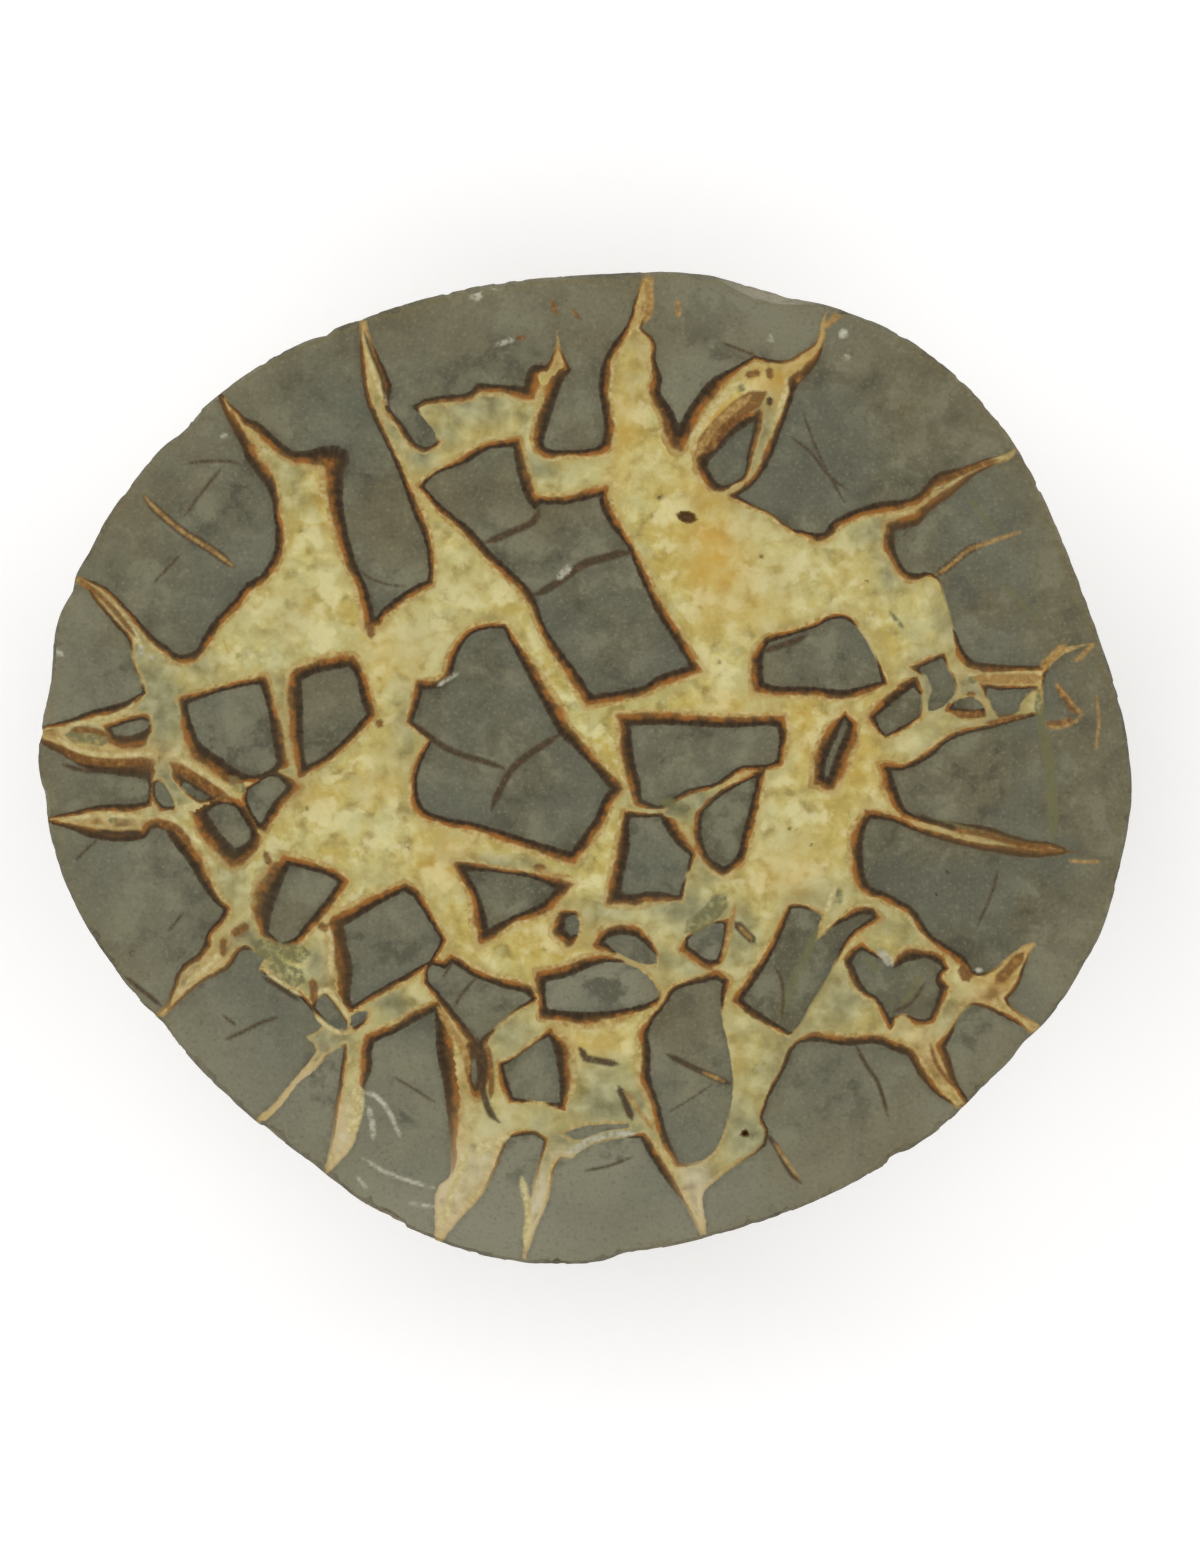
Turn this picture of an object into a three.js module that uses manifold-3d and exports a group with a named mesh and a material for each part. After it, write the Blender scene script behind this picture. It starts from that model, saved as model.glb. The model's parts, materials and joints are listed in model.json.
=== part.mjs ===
// Half of a septarian nodule: a flattened limestone concretion, sawn in two and polished on the cut.
// It is one natural piece, so it is one solid. Millimetres, +Z up: the rind lies on a small flat
// spot at z = 0, and the polished cut faces up at z = depth.

import * as THREE from "three";
import { mergeVertices } from "three/addons/utils/BufferGeometryUtils.js";
import Module from "manifold-3d";

// Driving dimensions.
const faceLength = 120.4; // the cut face's longest measure, along X
const depth = 44; // from the polished face down to the flat spot
const edgeBevel = 0.4; // ground edge round the polished face
const flankPower = 2.35; // 2 would be an ellipse, more keeps the flanks fuller
const flatCut = 0.7; // how much of the dome's bottom is missing at the flat spot
const flatSpot = { x: 1.4, y: -0.6, wobble: 0.1, lobes: 3 }; // its middle, and its uneven edge

// Fineness of the surface: columns run down the rind, rings run round it.
const columns = 240;
const ringCount = 21;
const fineRings = 4; // rings that keep every column
const middleRings = 15; // rings up to this one keep every second column, the rest every fourth
const ringCrowding = 1.12; // above 1 the rings lie closer together near the rim

// The rim's nicks and steps die out down the rind, where it follows a softened outline.
const softening = { columns: 9, below: 12 };

// Rim of the cut face, anticlockwise from the right: close points mark the small nicks and steps.
const rimPoints = [
  [60.1, -1], [59.4, 4.5], [57.95, 10.15], [55.5, 17.3], [52.8, 24.3], [50.5, 29.6],
  [47.5, 35.3], [43.5, 40.5], [39, 44.8], [34, 48.1], [28.5, 50.4], [22, 52.2],
  [16, 53.9], [9, 54.7], [3, 54.5], [-5, 54], [-12.5, 53], [-20, 51.1],
  [-27, 48.7], [-33, 46.1], [-39, 42.3], [-43.2, 38.7], [-44.2, 37], [-46, 36],
  [-50, 31.4], [-53, 27.2], [-55, 23.3], [-56.4, 20.9], [-56.1, 20], [-57, 18.8],
  [-58, 16.9], [-58.7, 13.5], [-58.8, 10.5], [-59.3, 7.8], [-60.1, 4.8], [-60.35, 1.4],
  [-60.1, -1.5], [-59.4, -3], [-59.4, -5.2], [-57.9, -11.2], [-55.4, -16.7], [-52, -22],
  [-48.2, -26.6], [-46.6, -27.9], [-45.4, -29.7], [-41.2, -34.5], [-36.2, -39], [-30.3, -43.4],
  [-25, -47.5], [-19, -50.9], [-13, -53.2], [-7.4, -54.4], [-1, -54.6], [2.4, -54.2],
  [3.4, -53.6], [8.5, -52.8], [14, -51.5], [22, -49], [29, -45.9], [35, -42.4],
  [39.5, -39.3], [43.4, -35.4], [47.4, -31.4], [48.1, -30.1], [49.6, -29], [52.4, -25.7],
  [53.8, -23.4], [55.2, -21], [56.4, -18.9], [58, -14.3], [59.3, -8.6], [59.7, -6.8],
  [59.4, -6.2], [59.9, -5.4],
];

// Broad swellings and hollows of the rind: middle, reach across, and rise (below 0 for a hollow).
const swellings = [
  { at: [44, 14, 22], reach: 15, rise: 1.8 },
  { at: [30, -34, 20], reach: 14, rise: 1.6 },
  { at: [-6, -46, 22], reach: 12, rise: 1.3 },
  { at: [-44, -20, 20], reach: 16, rise: 1.9 },
  { at: [-42, 24, 18], reach: 13, rise: 1.5 },
  { at: [6, 45, 20], reach: 16, rise: 1.7 },
  { at: [24, 10, 6], reach: 13, rise: 1.1 },
  { at: [-22, 6, 4], reach: 12, rise: 1.2 },
  { at: [-8, -26, 5], reach: 11, rise: 0.9 },
  { at: [34, 34, 18], reach: 9, rise: -1.4 },
  { at: [50, -12, 24], reach: 9, rise: -1.2 },
  { at: [-22, -38, 16], reach: 9, rise: -1.3 },
  { at: [-52, 2, 24], reach: 8, rise: -1.1 },
  { at: [-18, 34, 12], reach: 9, rise: -1.2 },
  { at: [18, -16, 4], reach: 8, rise: -0.8 },
];
const lumpiness = { rise: 0.55, length: 12 }; // knobbly unevenness between the swellings
const calmBelowFace = 20; // the relief grows from nothing at the rim to its full height here
const calmAboveFlat = 7; // and fades again towards the flat spot

// Places where material is missing from the polished face: middle, full size and turn in degrees.
const rimChip = { at: [20.1, 52.9], size: [10.6, 3, 3.8], turn: -14.5, facets: 18 };
const calciteVug = { at: [11.2, 27.6], size: [2.3, 1.3, 2.4], turn: -12, facets: 12 };
const pinhole = { at: [17.6, -40.2], size: [1, 0.8, 1.6], turn: 0, facets: 10 };

const smooth = (from, to, value) => THREE.MathUtils.smoothstep(value, from, to);

// The rim as an even row of points, centred on the origin and brought to its real length.
function rimOutline() {
  const corners = rimPoints.map(([x, y]) => new THREE.Vector3(x, y, 0));
  const curve = new THREE.CatmullRomCurve3(corners, true, "centripetal");
  const points = curve.getSpacedPoints(columns).slice(0, columns);
  const box = new THREE.Box3().setFromPoints(points);
  const middle = box.getCenter(new THREE.Vector3());
  const scale = faceLength / (box.max.x - box.min.x);
  return points.map((point) => point.sub(middle).multiplyScalar(scale));
}

// The same outline with each point moved to the middle of its neighbours.
function softened(points) {
  const reach = softening.columns;
  return points.map((_, index) => {
    const middle = new THREE.Vector3();
    for (let offset = -reach; offset <= reach; offset++) {
      middle.add(points[(index + offset + points.length) % points.length]);
    }
    return middle.divideScalar(2 * reach + 1);
  });
}

// Height of the rind's relief, outwards, at a place on the plain dome.
function relief(place) {
  const { x, y, z } = place;
  let rise = 0;
  for (const swelling of swellings) {
    const away = place.distanceTo(new THREE.Vector3(...swelling.at)) / swelling.reach;
    rise += swelling.rise * Math.exp(-away * away);
  }
  const wave = (2 * Math.PI) / lumpiness.length;
  const across = Math.sin(wave * (x + 0.6 * z) + 1.7 * Math.sin(0.7 * wave * y));
  const along = Math.sin(wave * (0.9 * y - 0.5 * z) + 1.3 * Math.sin(0.6 * wave * x));
  rise += lumpiness.rise * across * along;
  return rise * smooth(0, calmBelowFace, depth - z) * smooth(0, calmAboveFlat, z);
}

// A place on the rind: under one point of the rim and of its softened outline, at an angle from 0
// at the rim to 90 degrees at the bottom of the dome. The relief never carries it past the rim.
function rindPoint(rimPoint, softPoint, angle) {
  const power = 2 / flankPower;
  const fullDepth = depth + flatCut;
  const inward = Math.cos(angle) ** power;
  const down = Math.sin(angle) ** power;
  const z = depth - fullDepth * down;
  const above = rimPoint.clone().lerp(softPoint, smooth(0, softening.below, depth - z));
  const spoke = new THREE.Vector2(above.x - flatSpot.x, above.y - flatSpot.y);
  const rimDistance = spoke.length();
  spoke.normalize();

  const nearFlat = 1 - smooth(0, calmAboveFlat, z);
  const bend = 1 + flatSpot.wobble * nearFlat * Math.sin(flatSpot.lobes * spoke.angle() + 1);
  const distance = rimDistance * inward * bend;
  const plain = new THREE.Vector3(
    flatSpot.x + spoke.x * distance,
    flatSpot.y + spoke.y * distance,
    Math.max(z, 0),
  );

  const steepness = inward ** (flankPower - 1) / rimDistance;
  const flatness = down ** (flankPower - 1) / fullDepth;
  const outward = new THREE.Vector2(steepness, flatness).normalize();
  const rise = relief(plain);
  const reach = Math.min(distance + rise * outward.x, rimDistance);
  return new THREE.Vector3(
    flatSpot.x + spoke.x * reach,
    flatSpot.y + spoke.y * reach,
    plain.z - rise * outward.y,
  );
}

// The stone before anything is missing: polished face, bevel, rind in rings, flat spot.
function wholeHalf() {
  const rim = rimOutline();
  const softRim = softened(rim);
  const vertices = [];
  const triangles = [];
  const ring = (step, place) => {
    const indices = [];
    for (let column = 0; column < columns; column += step) {
      indices.push(vertices.length);
      vertices.push(place(rim[column], softRim[column]));
    }
    return indices;
  };
  // Joins a ring to the one below it, which has as many points or half as many.
  const join = (upper, lower) => {
    const share = upper.length / lower.length;
    for (let i = 0; i < lower.length; i++) {
      const left = lower[i];
      const right = lower[(i + 1) % lower.length];
      for (let k = 0; k < share; k++) {
        const from = upper[i * share + k];
        const to = upper[(i * share + k + 1) % upper.length];
        triangles.push([from, k === 0 ? left : right, to]);
      }
      const turn = upper[(i * share + 1) % upper.length];
      triangles.push([turn, left, right]);
    }
  };

  const face = ring(1, (point) => {
    const inset = 1 - edgeBevel / point.length();
    return new THREE.Vector3(point.x * inset, point.y * inset, depth);
  });
  const faceOutline = face.map((index) => new THREE.Vector2(vertices[index].x, vertices[index].y));
  for (const corners of THREE.ShapeUtils.triangulateShape(faceOutline, [])) {
    triangles.push(corners.map((corner) => face[corner]));
  }

  let upper = ring(1, (point) => new THREE.Vector3(point.x, point.y, depth - edgeBevel));
  join(face, upper);
  const flatAngle = Math.asin((depth / (depth + flatCut)) ** (flankPower / 2));
  for (let index = 1; index <= ringCount; index++) {
    const angle = flatAngle * (index / ringCount) ** ringCrowding;
    const step = index <= fineRings ? 1 : index <= middleRings ? 2 : 4;
    const lower = ring(step, (point, softPoint) => rindPoint(point, softPoint, angle));
    join(upper, lower);
    upper = lower;
  }
  const flatOutline = upper.map((index) => new THREE.Vector2(vertices[index].x, vertices[index].y));
  for (const corners of THREE.ShapeUtils.triangulateShape(flatOutline, [])) {
    triangles.push(corners.reverse().map((corner) => upper[corner]));
  }

  const geometry = new THREE.BufferGeometry().setFromPoints(vertices);
  geometry.setIndex(triangles.flat());
  return geometry;
}

const wasm = await Module();
wasm.setup();

function toSolid(geometry) {
  const bare = geometry.clone();
  bare.deleteAttribute("normal");
  bare.deleteAttribute("uv");
  const merged = mergeVertices(bare);
  return new wasm.Manifold(new wasm.Mesh({
    numProp: 3,
    vertProperties: merged.attributes.position.array,
    triVerts: Uint32Array.from(merged.index.array),
  }));
}

function toGeometry(solid) {
  const mesh = solid.getMesh();
  const geometry = new THREE.BufferGeometry();
  geometry.setAttribute("position", new THREE.BufferAttribute(mesh.vertProperties, 3));
  geometry.setIndex(new THREE.BufferAttribute(mesh.triVerts, 1));
  geometry.computeVertexNormals();
  return geometry;
}

// A shallow shell-shaped hollow, sunk into the polished face.
function scoopTool({ at, size, turn, facets }) {
  const ball = new THREE.SphereGeometry(0.5, facets, facets / 2);
  ball.scale(size[0], size[1], size[2]);
  ball.rotateZ(THREE.MathUtils.degToRad(turn));
  ball.translate(at[0], at[1], depth);
  return toSolid(ball);
}

let stone = toSolid(wholeHalf());
for (const scoop of [rimChip, calciteVug, pinhole]) {
  stone = stone.subtract(scoopTool(scoop));
}

const nodule = new THREE.Mesh(
  toGeometry(stone),
  new THREE.MeshStandardMaterial({ color: 0x6f6a58, roughness: 0.6, metalness: 0 }),
);
nodule.name = "nodule";

const part = new THREE.Group();
part.add(nodule);

export default part;
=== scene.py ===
# Half of a septarian nodule: grey limestone blocks, parted by veins of honey-coloured calcite
# with a brown aragonite lining, sawn and polished on top, with its natural rind below.
import json
import math

import bmesh
import bpy
import numpy as np
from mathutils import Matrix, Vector, noise
from mathutils.bvhtree import BVHTree
from mathutils.geometry import delaunay_2d_cdt


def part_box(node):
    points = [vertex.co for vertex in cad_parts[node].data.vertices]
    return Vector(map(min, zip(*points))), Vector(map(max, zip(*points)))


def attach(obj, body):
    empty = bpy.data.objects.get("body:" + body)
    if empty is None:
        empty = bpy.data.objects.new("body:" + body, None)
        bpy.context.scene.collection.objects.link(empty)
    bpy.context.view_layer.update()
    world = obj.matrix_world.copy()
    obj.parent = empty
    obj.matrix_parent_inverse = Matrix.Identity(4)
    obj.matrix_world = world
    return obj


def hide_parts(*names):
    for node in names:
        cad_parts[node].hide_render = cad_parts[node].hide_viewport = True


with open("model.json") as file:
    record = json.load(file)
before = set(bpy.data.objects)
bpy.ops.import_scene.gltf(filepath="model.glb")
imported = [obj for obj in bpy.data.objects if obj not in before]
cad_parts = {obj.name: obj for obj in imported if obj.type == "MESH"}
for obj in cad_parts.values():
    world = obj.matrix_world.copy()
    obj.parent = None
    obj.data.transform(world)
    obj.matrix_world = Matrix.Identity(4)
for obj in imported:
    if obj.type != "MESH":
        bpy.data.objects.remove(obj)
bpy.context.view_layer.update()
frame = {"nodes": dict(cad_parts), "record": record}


# ------------------------------------------------------------------ the limestone blocks
# A mud concretion that shrank and cracked into blocks as it dried. The blocks never moved far, so
# their sides still answer each other across the veins. Millimetres on the polished cut, X to the
# right and Y up. The blocks at the rim run on beyond it; the islands lie whole inside the cut. A
# third number is how thick the dark part of the wall's lining is at that point.

usual_lining = 0.8  # mm of dark lining where a wall's point gives no third number
rim_blocks = {
    "north_west": [
        (-40.4, 41.2, 0.2), (-39.2, 38.4), (-37.7, 35.5, 1.1), (-37, 33.8, 1.3),
        (-35.1, 31.2, 1.2), (-34.4, 29.7), (-34.1, 28, 0.6), (-33.9, 24.9), (-34.1, 23.6),
        (-34.7, 22.3), (-35.6, 21.1), (-37.1, 20.2), (-38.2, 18.8), (-41.3, 15.3),
        (-42.1, 13.85), (-42.9, 12.8), (-43.9, 12.3), (-45, 12.4), (-45.8, 13.1, 0.6),
        (-47, 13.85, 0.6), (-49.5, 16.5, 0.4), (-52.8, 19.8, 0.3), (-54.8, 20.8, 0.2),
        (-56.6, 21.2, 0.1),
    ],
    "west": [
        (-56.5, 20.3, 0.1), (-54.9, 19.8, 0.2), (-53.8, 18.4, 0.3), (-51.3, 15.4, 0.3),
        (-50.1, 14, 0.3), (-49.9, 12.4, 0.1), (-49.5, 10.8, 0.2), (-48.9, 9.5, 0.1),
        (-48.6, 8.3, 0.3), (-49.9, 7.4, 0.6), (-51.7, 6.8, 0.9), (-53.8, 6.3, 0.7),
        (-57.1, 5.1, 0.4), (-59.5, 4.6, 0.2),
    ],
    "north_north_west": [
        (-40, 41.2, 0.1), (-38, 39, 0.3), (-37.1, 38.2, 0.6), (-36.05, 37.95, 1.0),
        (-34.7, 36.7, 1.1), (-33.3, 35.5, 1.0), (-32.05, 34.7, 1.0), (-30.8, 34.7, 1.4),
        (-28.3, 35.3, 2.2), (-27.1, 35.2, 2.6), (-26.2, 34.7, 2.6), (-26.05, 33.85, 2.4),
        (-26.6, 32.6, 2.2), (-26.8, 31, 1.9), (-26.8, 29.3, 1.3), (-25.85, 24.3, 1.2),
        (-24.8, 21.2), (-24.1, 19.8, 1.1), (-23.6, 18.15, 1.1), (-23.3, 16.4, 1.0),
        (-22.9, 16.4), (-22.4, 17.1, 0.6), (-21.3, 18.15), (-18.7, 19.9), (-17.2, 20.5, 0.6),
        (-17.05, 21.5, 0.5), (-17.6, 25.3, 0.6), (-18.8, 28.1), (-20.3, 32.4, 0.5),
        (-21.9, 35.9, 0.4), (-23.4, 39, 0.5), (-23.9, 40.2, 0.4), (-24.6, 44.7, 0.3),
        (-24.8, 49.2, 0.1),
    ],
    "north_left": [
        (-24.1, 50, 0.1), (-23.9, 48.5, 0.1), (-23.2, 46.15, 0.2), (-21.95, 43.3, 0.6),
        (-21.4, 42.05), (-21.6, 40.8, 0.6), (-21.7, 39.8, 0.4), (-20.1, 37.7, 0.5),
        (-18.5, 35.5, 0.5), (-17.6, 35.2, 0.5), (-16.8, 35.4, 0.3), (-16.2, 35.9, 0.2),
        (-16.4, 36.7, 0), (-17.85, 38.6, 0), (-18.9, 39.7, 0.4), (-17.6, 40.4, 0.6),
        (-15, 40.9), (-12.8, 41.1, 0.6), (-11.8, 42.15), (-8.8, 41.95), (-6.6, 41.85, 1.2),
        (-6.4, 42.9, 1.5), (-5.95, 43.9, 1.5), (-5.3, 44.2, 1.1), (-4.4, 44, 0.4),
        (-3.9, 44.6, 0.3), (-3.1, 46.8, 0.1),
    ],
    "north": [
        (-2.9, 46.9, 0.1), (-2.05, 44.5, 0.3), (-1.7, 43.7), (-2.5, 42.7, 1.2),
        (-3.5, 40, 1.2), (-4.4, 37.1, 1.2), (-4.7, 36.1, 1.1), (-4.7, 35.4), (-4.1, 34.95),
        (-2, 34.8, 0.5), (1.1, 35.1, 0.6), (2, 35.8, 1.0), (2.2, 36.9, 1.0), (2.2, 38.4),
        (1.7, 41.6), (1.8, 43.3, 1.0), (2.2, 44.9), (2.9, 46.15), (4.8, 48.9, 0.3),
        (5.6, 51.9, 0.2), (6.7, 54.6, 0.1),
    ],
    "north_right": [
        (7.1, 54.8, 0.1), (7.2, 53.9, 0.1), (7.1, 50.7, 0.2), (6.2, 48.4, 0.2),
        (7.7, 46.7, 0.3), (7.6, 45, 0.4), (8.3, 42.7, 1.0), (8.1, 41.5, 1.0), (9.4, 39.4, 1.2),
        (10.3, 37.4, 1.6), (11.5, 39.4, 1.4), (13.2, 41.85, 1.6), (14.2, 42.8, 1.2),
        (16.7, 44.1, 0.5), (18.7, 45.3, 0.3), (20.2, 44.9, 0.3), (22.1, 44.8, 0.2),
        (24.3, 46, 0.2), (25.2, 46.6, 0.2), (25.9, 48.3, 0.1), (26.1, 49.4, 0.1),
    ],
    "north_east": [
        (26.4, 49.6, 0.1), (26.4, 47.6, 0.1), (26.1, 46.15, 0.2), (24.9, 43.9), (23.3, 42.2, 1.0),
        (22.4, 39.8, 0.6), (21.4, 37.1, 0.6), (20.2, 33.85), (19.3, 32.4, 0.6),
        (17.5, 30.5, 0.5), (16.5, 29.95, 0.4), (18.5, 28.9, 0.2), (20.2, 28.2, 0.2),
        (22.8, 26.3, 0.2), (24.2, 25.9, 0.4), (25.5, 25.6), (26.5, 25.9), (27.3, 27),
        (29.6, 28.2), (32.5, 29.1, 1.0), (35.6, 29.5), (36.6, 29.95), (38.05, 31.6),
        (39.1, 32.4, 1.0), (41.5, 32.9), (44, 33.85, 0.3), (46.4, 34.6, 0.1),
    ],
    "east_north_east": [
        (46.6, 33.9, 0.1), (43, 32.4, 0.3), (39.9, 29.8), (37.8, 28.3), (36.6, 26.9, 1.1),
        (35.2, 26.5, 1.1), (33.9, 26.2, 1.0), (33.9, 24.5, 1.0), (34.4, 22.9), (35.1, 21.7),
        (35.9, 21.3), (38.2, 21.3, 0.3), (38.9, 20.8, 0.2), (39.7, 18.4, 0.1),
        (40.5, 15.5, 0.1), (41.2, 13.5, 0.6), (41.95, 12.2), (42.8, 11.6), (44.4, 11.3),
        (50.2, 11.1, 0.3), (51.1, 12.4, 0.2), (52.4, 13.2, 0.1),
    ],
    "east": [
        (52.6, 12.6, 0.1), (51.3, 11.4, 0.1), (50.6, 10.2, 0.3), (50.35, 8.5, 0.1),
        (50.4, 6.9, 0.1), (50.2, 5.9, 0.1), (48.9, 5.7, 0.4), (46, 4.8, 0.4), (40.6, 3.4, 0.6),
        (39.4, 2.7, 0.5), (38.4, 1.7, 0.6), (37.1, 0.8, 0.6), (35.3, 0, 0.4), (33.4, -0.2),
        (33.95, -1.7, 1.3), (35.1, -4.5), (36.2, -5.3, 0.5), (40.3, -6.1, 0.4), (44, -6.6),
        (48.5, -8, 0.6), (51.8, -8.5, 0.4), (52.9, -9, 0.2),
    ],
    "east_south_east": [
        (53, -9.3, 0.2), (49.5, -9.7), (46.05, -9.3), (42.8, -8.7, 0.6), (36.8, -7, 0.5),
        (33.95, -5.8, 0.6), (31.3, -5.4), (30.5, -7.2, 1.2), (30.4, -8.6, 1.1),
        (30.7, -12.1, 1.0), (31.1, -12.95), (33.3, -14), (36.2, -15.8), (37.85, -18.3, 0.5),
        (39.9, -19.7), (41.95, -21.2), (42.4, -22.5, 0.4), (44.2, -22.5, 0.2),
        (46.4, -20.9, 0.1), (48, -19.7, 0.1), (49.2, -19.2, 0.1),
    ],
    "south_east_tooth": [
        (49.4, -19.5, 0.1), (48.6, -21.2, 0.2), (47.3, -24.4, 0.3), (46.4, -25.3, 0.3),
        (46.7, -26, 0.2), (49.9, -28.2, 0.1),
    ],
    "south_east": [
        (49.2, -29.4, 0.1), (47.9, -28.3, 0.2), (46.5, -27.5, 0.4), (43.6, -26.2, 0.3),
        (42.6, -26.1, 0.2), (41.7, -26.6, 0.1), (40.6, -28.6, 0.2), (39.5, -30.6),
        (39.9, -31.6), (40.8, -34.6, 0.6), (41.6, -36, 0.4),
    ],
    "south_south_east": [
        (40.9, -37.4, 0.1), (38.3, -35.4, 0.5), (36.8, -33.6), (35.7, -31.5, 0.6),
        (34.6, -31.2, 1.0), (32.1, -30.2), (28.8, -30.4), (24.9, -29.9), (24.1, -30, 0.5),
        (23.2, -30.4, 0.4), (22.6, -31.3, 0.4), (22, -32.8, 0.4), (20.2, -36.3, 0.3),
        (19.5, -38.6, 0.3), (20, -39.7, 0.3), (20, -41.2, 0.3), (18.9, -42.3, 0.2),
        (16.05, -44.05, 0.1), (13.9, -45.8, 0.1), (13.1, -46.5, 0.1), (12.9, -47.7, 0.1),
        (13.3, -50.6, 0.1), (13.2, -51.6, 0.1),
    ],
    "south": [
        (12.9, -51.6, 0.1), (10.7, -47.5, 0.2), (8.9, -45.1), (6.6, -41.4), (6.3, -40.6, 0.5),
        (4.2, -40.7, 0.1), (0.7, -41.5, 0.1), (-0.6, -42.2, 0.1), (-1.5, -43, 0.1),
        (-2.6, -42.9, 0.2), (-3.1, -43.5, 0.2), (-4.1, -47.5, 0.1), (-5.3, -50.3, 0.1),
        (-6.3, -53, 0.1),
    ],
    "south_sliver": [
        (-6.8, -53.2, 0.1), (-6.5, -51.2, 0.1), (-6.05, -47.95, 0.1), (-5, -43, 0.2),
        (-4.4, -41, 0.3), (-5.3, -40.4, 0.3), (-7.4, -40.4, 0.4), (-8.4, -40.8, 0.3),
        (-8.9, -41.7, 0.3), (-10.05, -44.5, 0.2), (-11.5, -47.1, 0.1), (-13.5, -49.3, 0.1),
        (-15.3, -51.4, 0.1),
    ],
    "south_south_west": [
        (-16.7, -52.3, 0.1), (-16.5, -51, 0.1), (-16.4, -47.1, 0.1), (-16, -46, 0.1),
        (-14.8, -44.8, 0.1), (-14.6, -43, 0.4), (-14.8, -40), (-15.4, -35, 1.6),
        (-16.2, -30.9, 1.8), (-16.3, -27.6, 1.1), (-16.5, -26.6), (-18.9, -27.85, 1.0),
        (-20.5, -28.8), (-23.3, -30, 1.0), (-23.6, -31.3, 1.2), (-23.6, -32.8, 1.0),
        (-24.5, -35.4, 0.5), (-25.1, -39.9, 0.1), (-25.5, -41.4, 0.1), (-28, -44.3, 0.1),
    ],
    "south_west_sliver": [
        (-28.9, -44.8, 0.1), (-28.3, -43, 0.1), (-27.3, -36.7, 0.3), (-26.6, -32.2, 0.4),
        (-26.4, -30.6, 0.2), (-27.4, -30.9, 0), (-28.4, -31.8, 0.2), (-29.5, -33, 0.1),
        (-31.6, -34.7, 0), (-33.5, -37.2, 0), (-35.3, -38.9, 0),
    ],
    "south_west": [
        (-46.4, -27.4, 0.1), (-44.15, -25.25, 0.3), (-41.9, -23.4, 0.3), (-39.6, -22.2, 0.4),
        (-38.8, -21.4, 0.5), (-38.2, -20.3, 0.4), (-37.4, -19.9, 0.3), (-36.3, -20.2, 0.1),
        (-35.2, -20.9, 0), (-35.9, -22.1, 0.1), (-34.5, -23.2, 0.4), (-33, -24.2, 0.4),
        (-31.5, -25, 0.4), (-30.4, -26.1, 0.3), (-29.6, -27.4, 0.1), (-28.9, -28.3, 0),
        (-29.4, -29, 0), (-30.8, -29.5, 0), (-29.9, -30.3, 0), (-29.5, -31.1, 0),
        (-30.4, -32.4, 0), (-32.6, -35, 0.1), (-33.9, -36.6, 0.1), (-36, -38.5, 0.1),
    ],
    "west_south_west": [
        (-60.5, -6, 0.1), (-57.9, -6.2, 0.4), (-53.6, -7.7, 1.1), (-49.7, -7.85, 1.0),
        (-48.3, -7.5), (-47.9, -6.6), (-47, -6.4), (-46, -6.7, 1.0), (-45.6, -7.6, 1.4),
        (-43.5, -10.3, 1.3), (-42.1, -12.7, 1.0), (-40.5, -14.8, 0.6), (-39.6, -15.5, 0.6),
        (-39.8, -16.1, 0.6), (-41.5, -18.3, 0.5), (-41.8, -19.5, 0.6), (-42.5, -20.5, 0.6),
        (-44.4, -22, 0.4), (-45.3, -24.2, 0.3), (-45.8, -25.7, 0.2), (-47.8, -27.6, 0.1),
    ],
    "west_wedge": [
        (-60.5, 3.2, 0.4), (-57.5, 1.6), (-54.8, 0.1, 1.1), (-51.7, -0.6, 1.5),
        (-48.3, -1, 1.7), (-47.9, -1.6, 0.6), (-47.9, -2.4, 0.3), (-48, -3.9, 0.4),
        (-49.7, -4.1), (-53, -4.2, 0.6), (-56.3, -4.9, 0.4), (-58.5, -5.3, 0.2),
    ],
}

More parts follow.
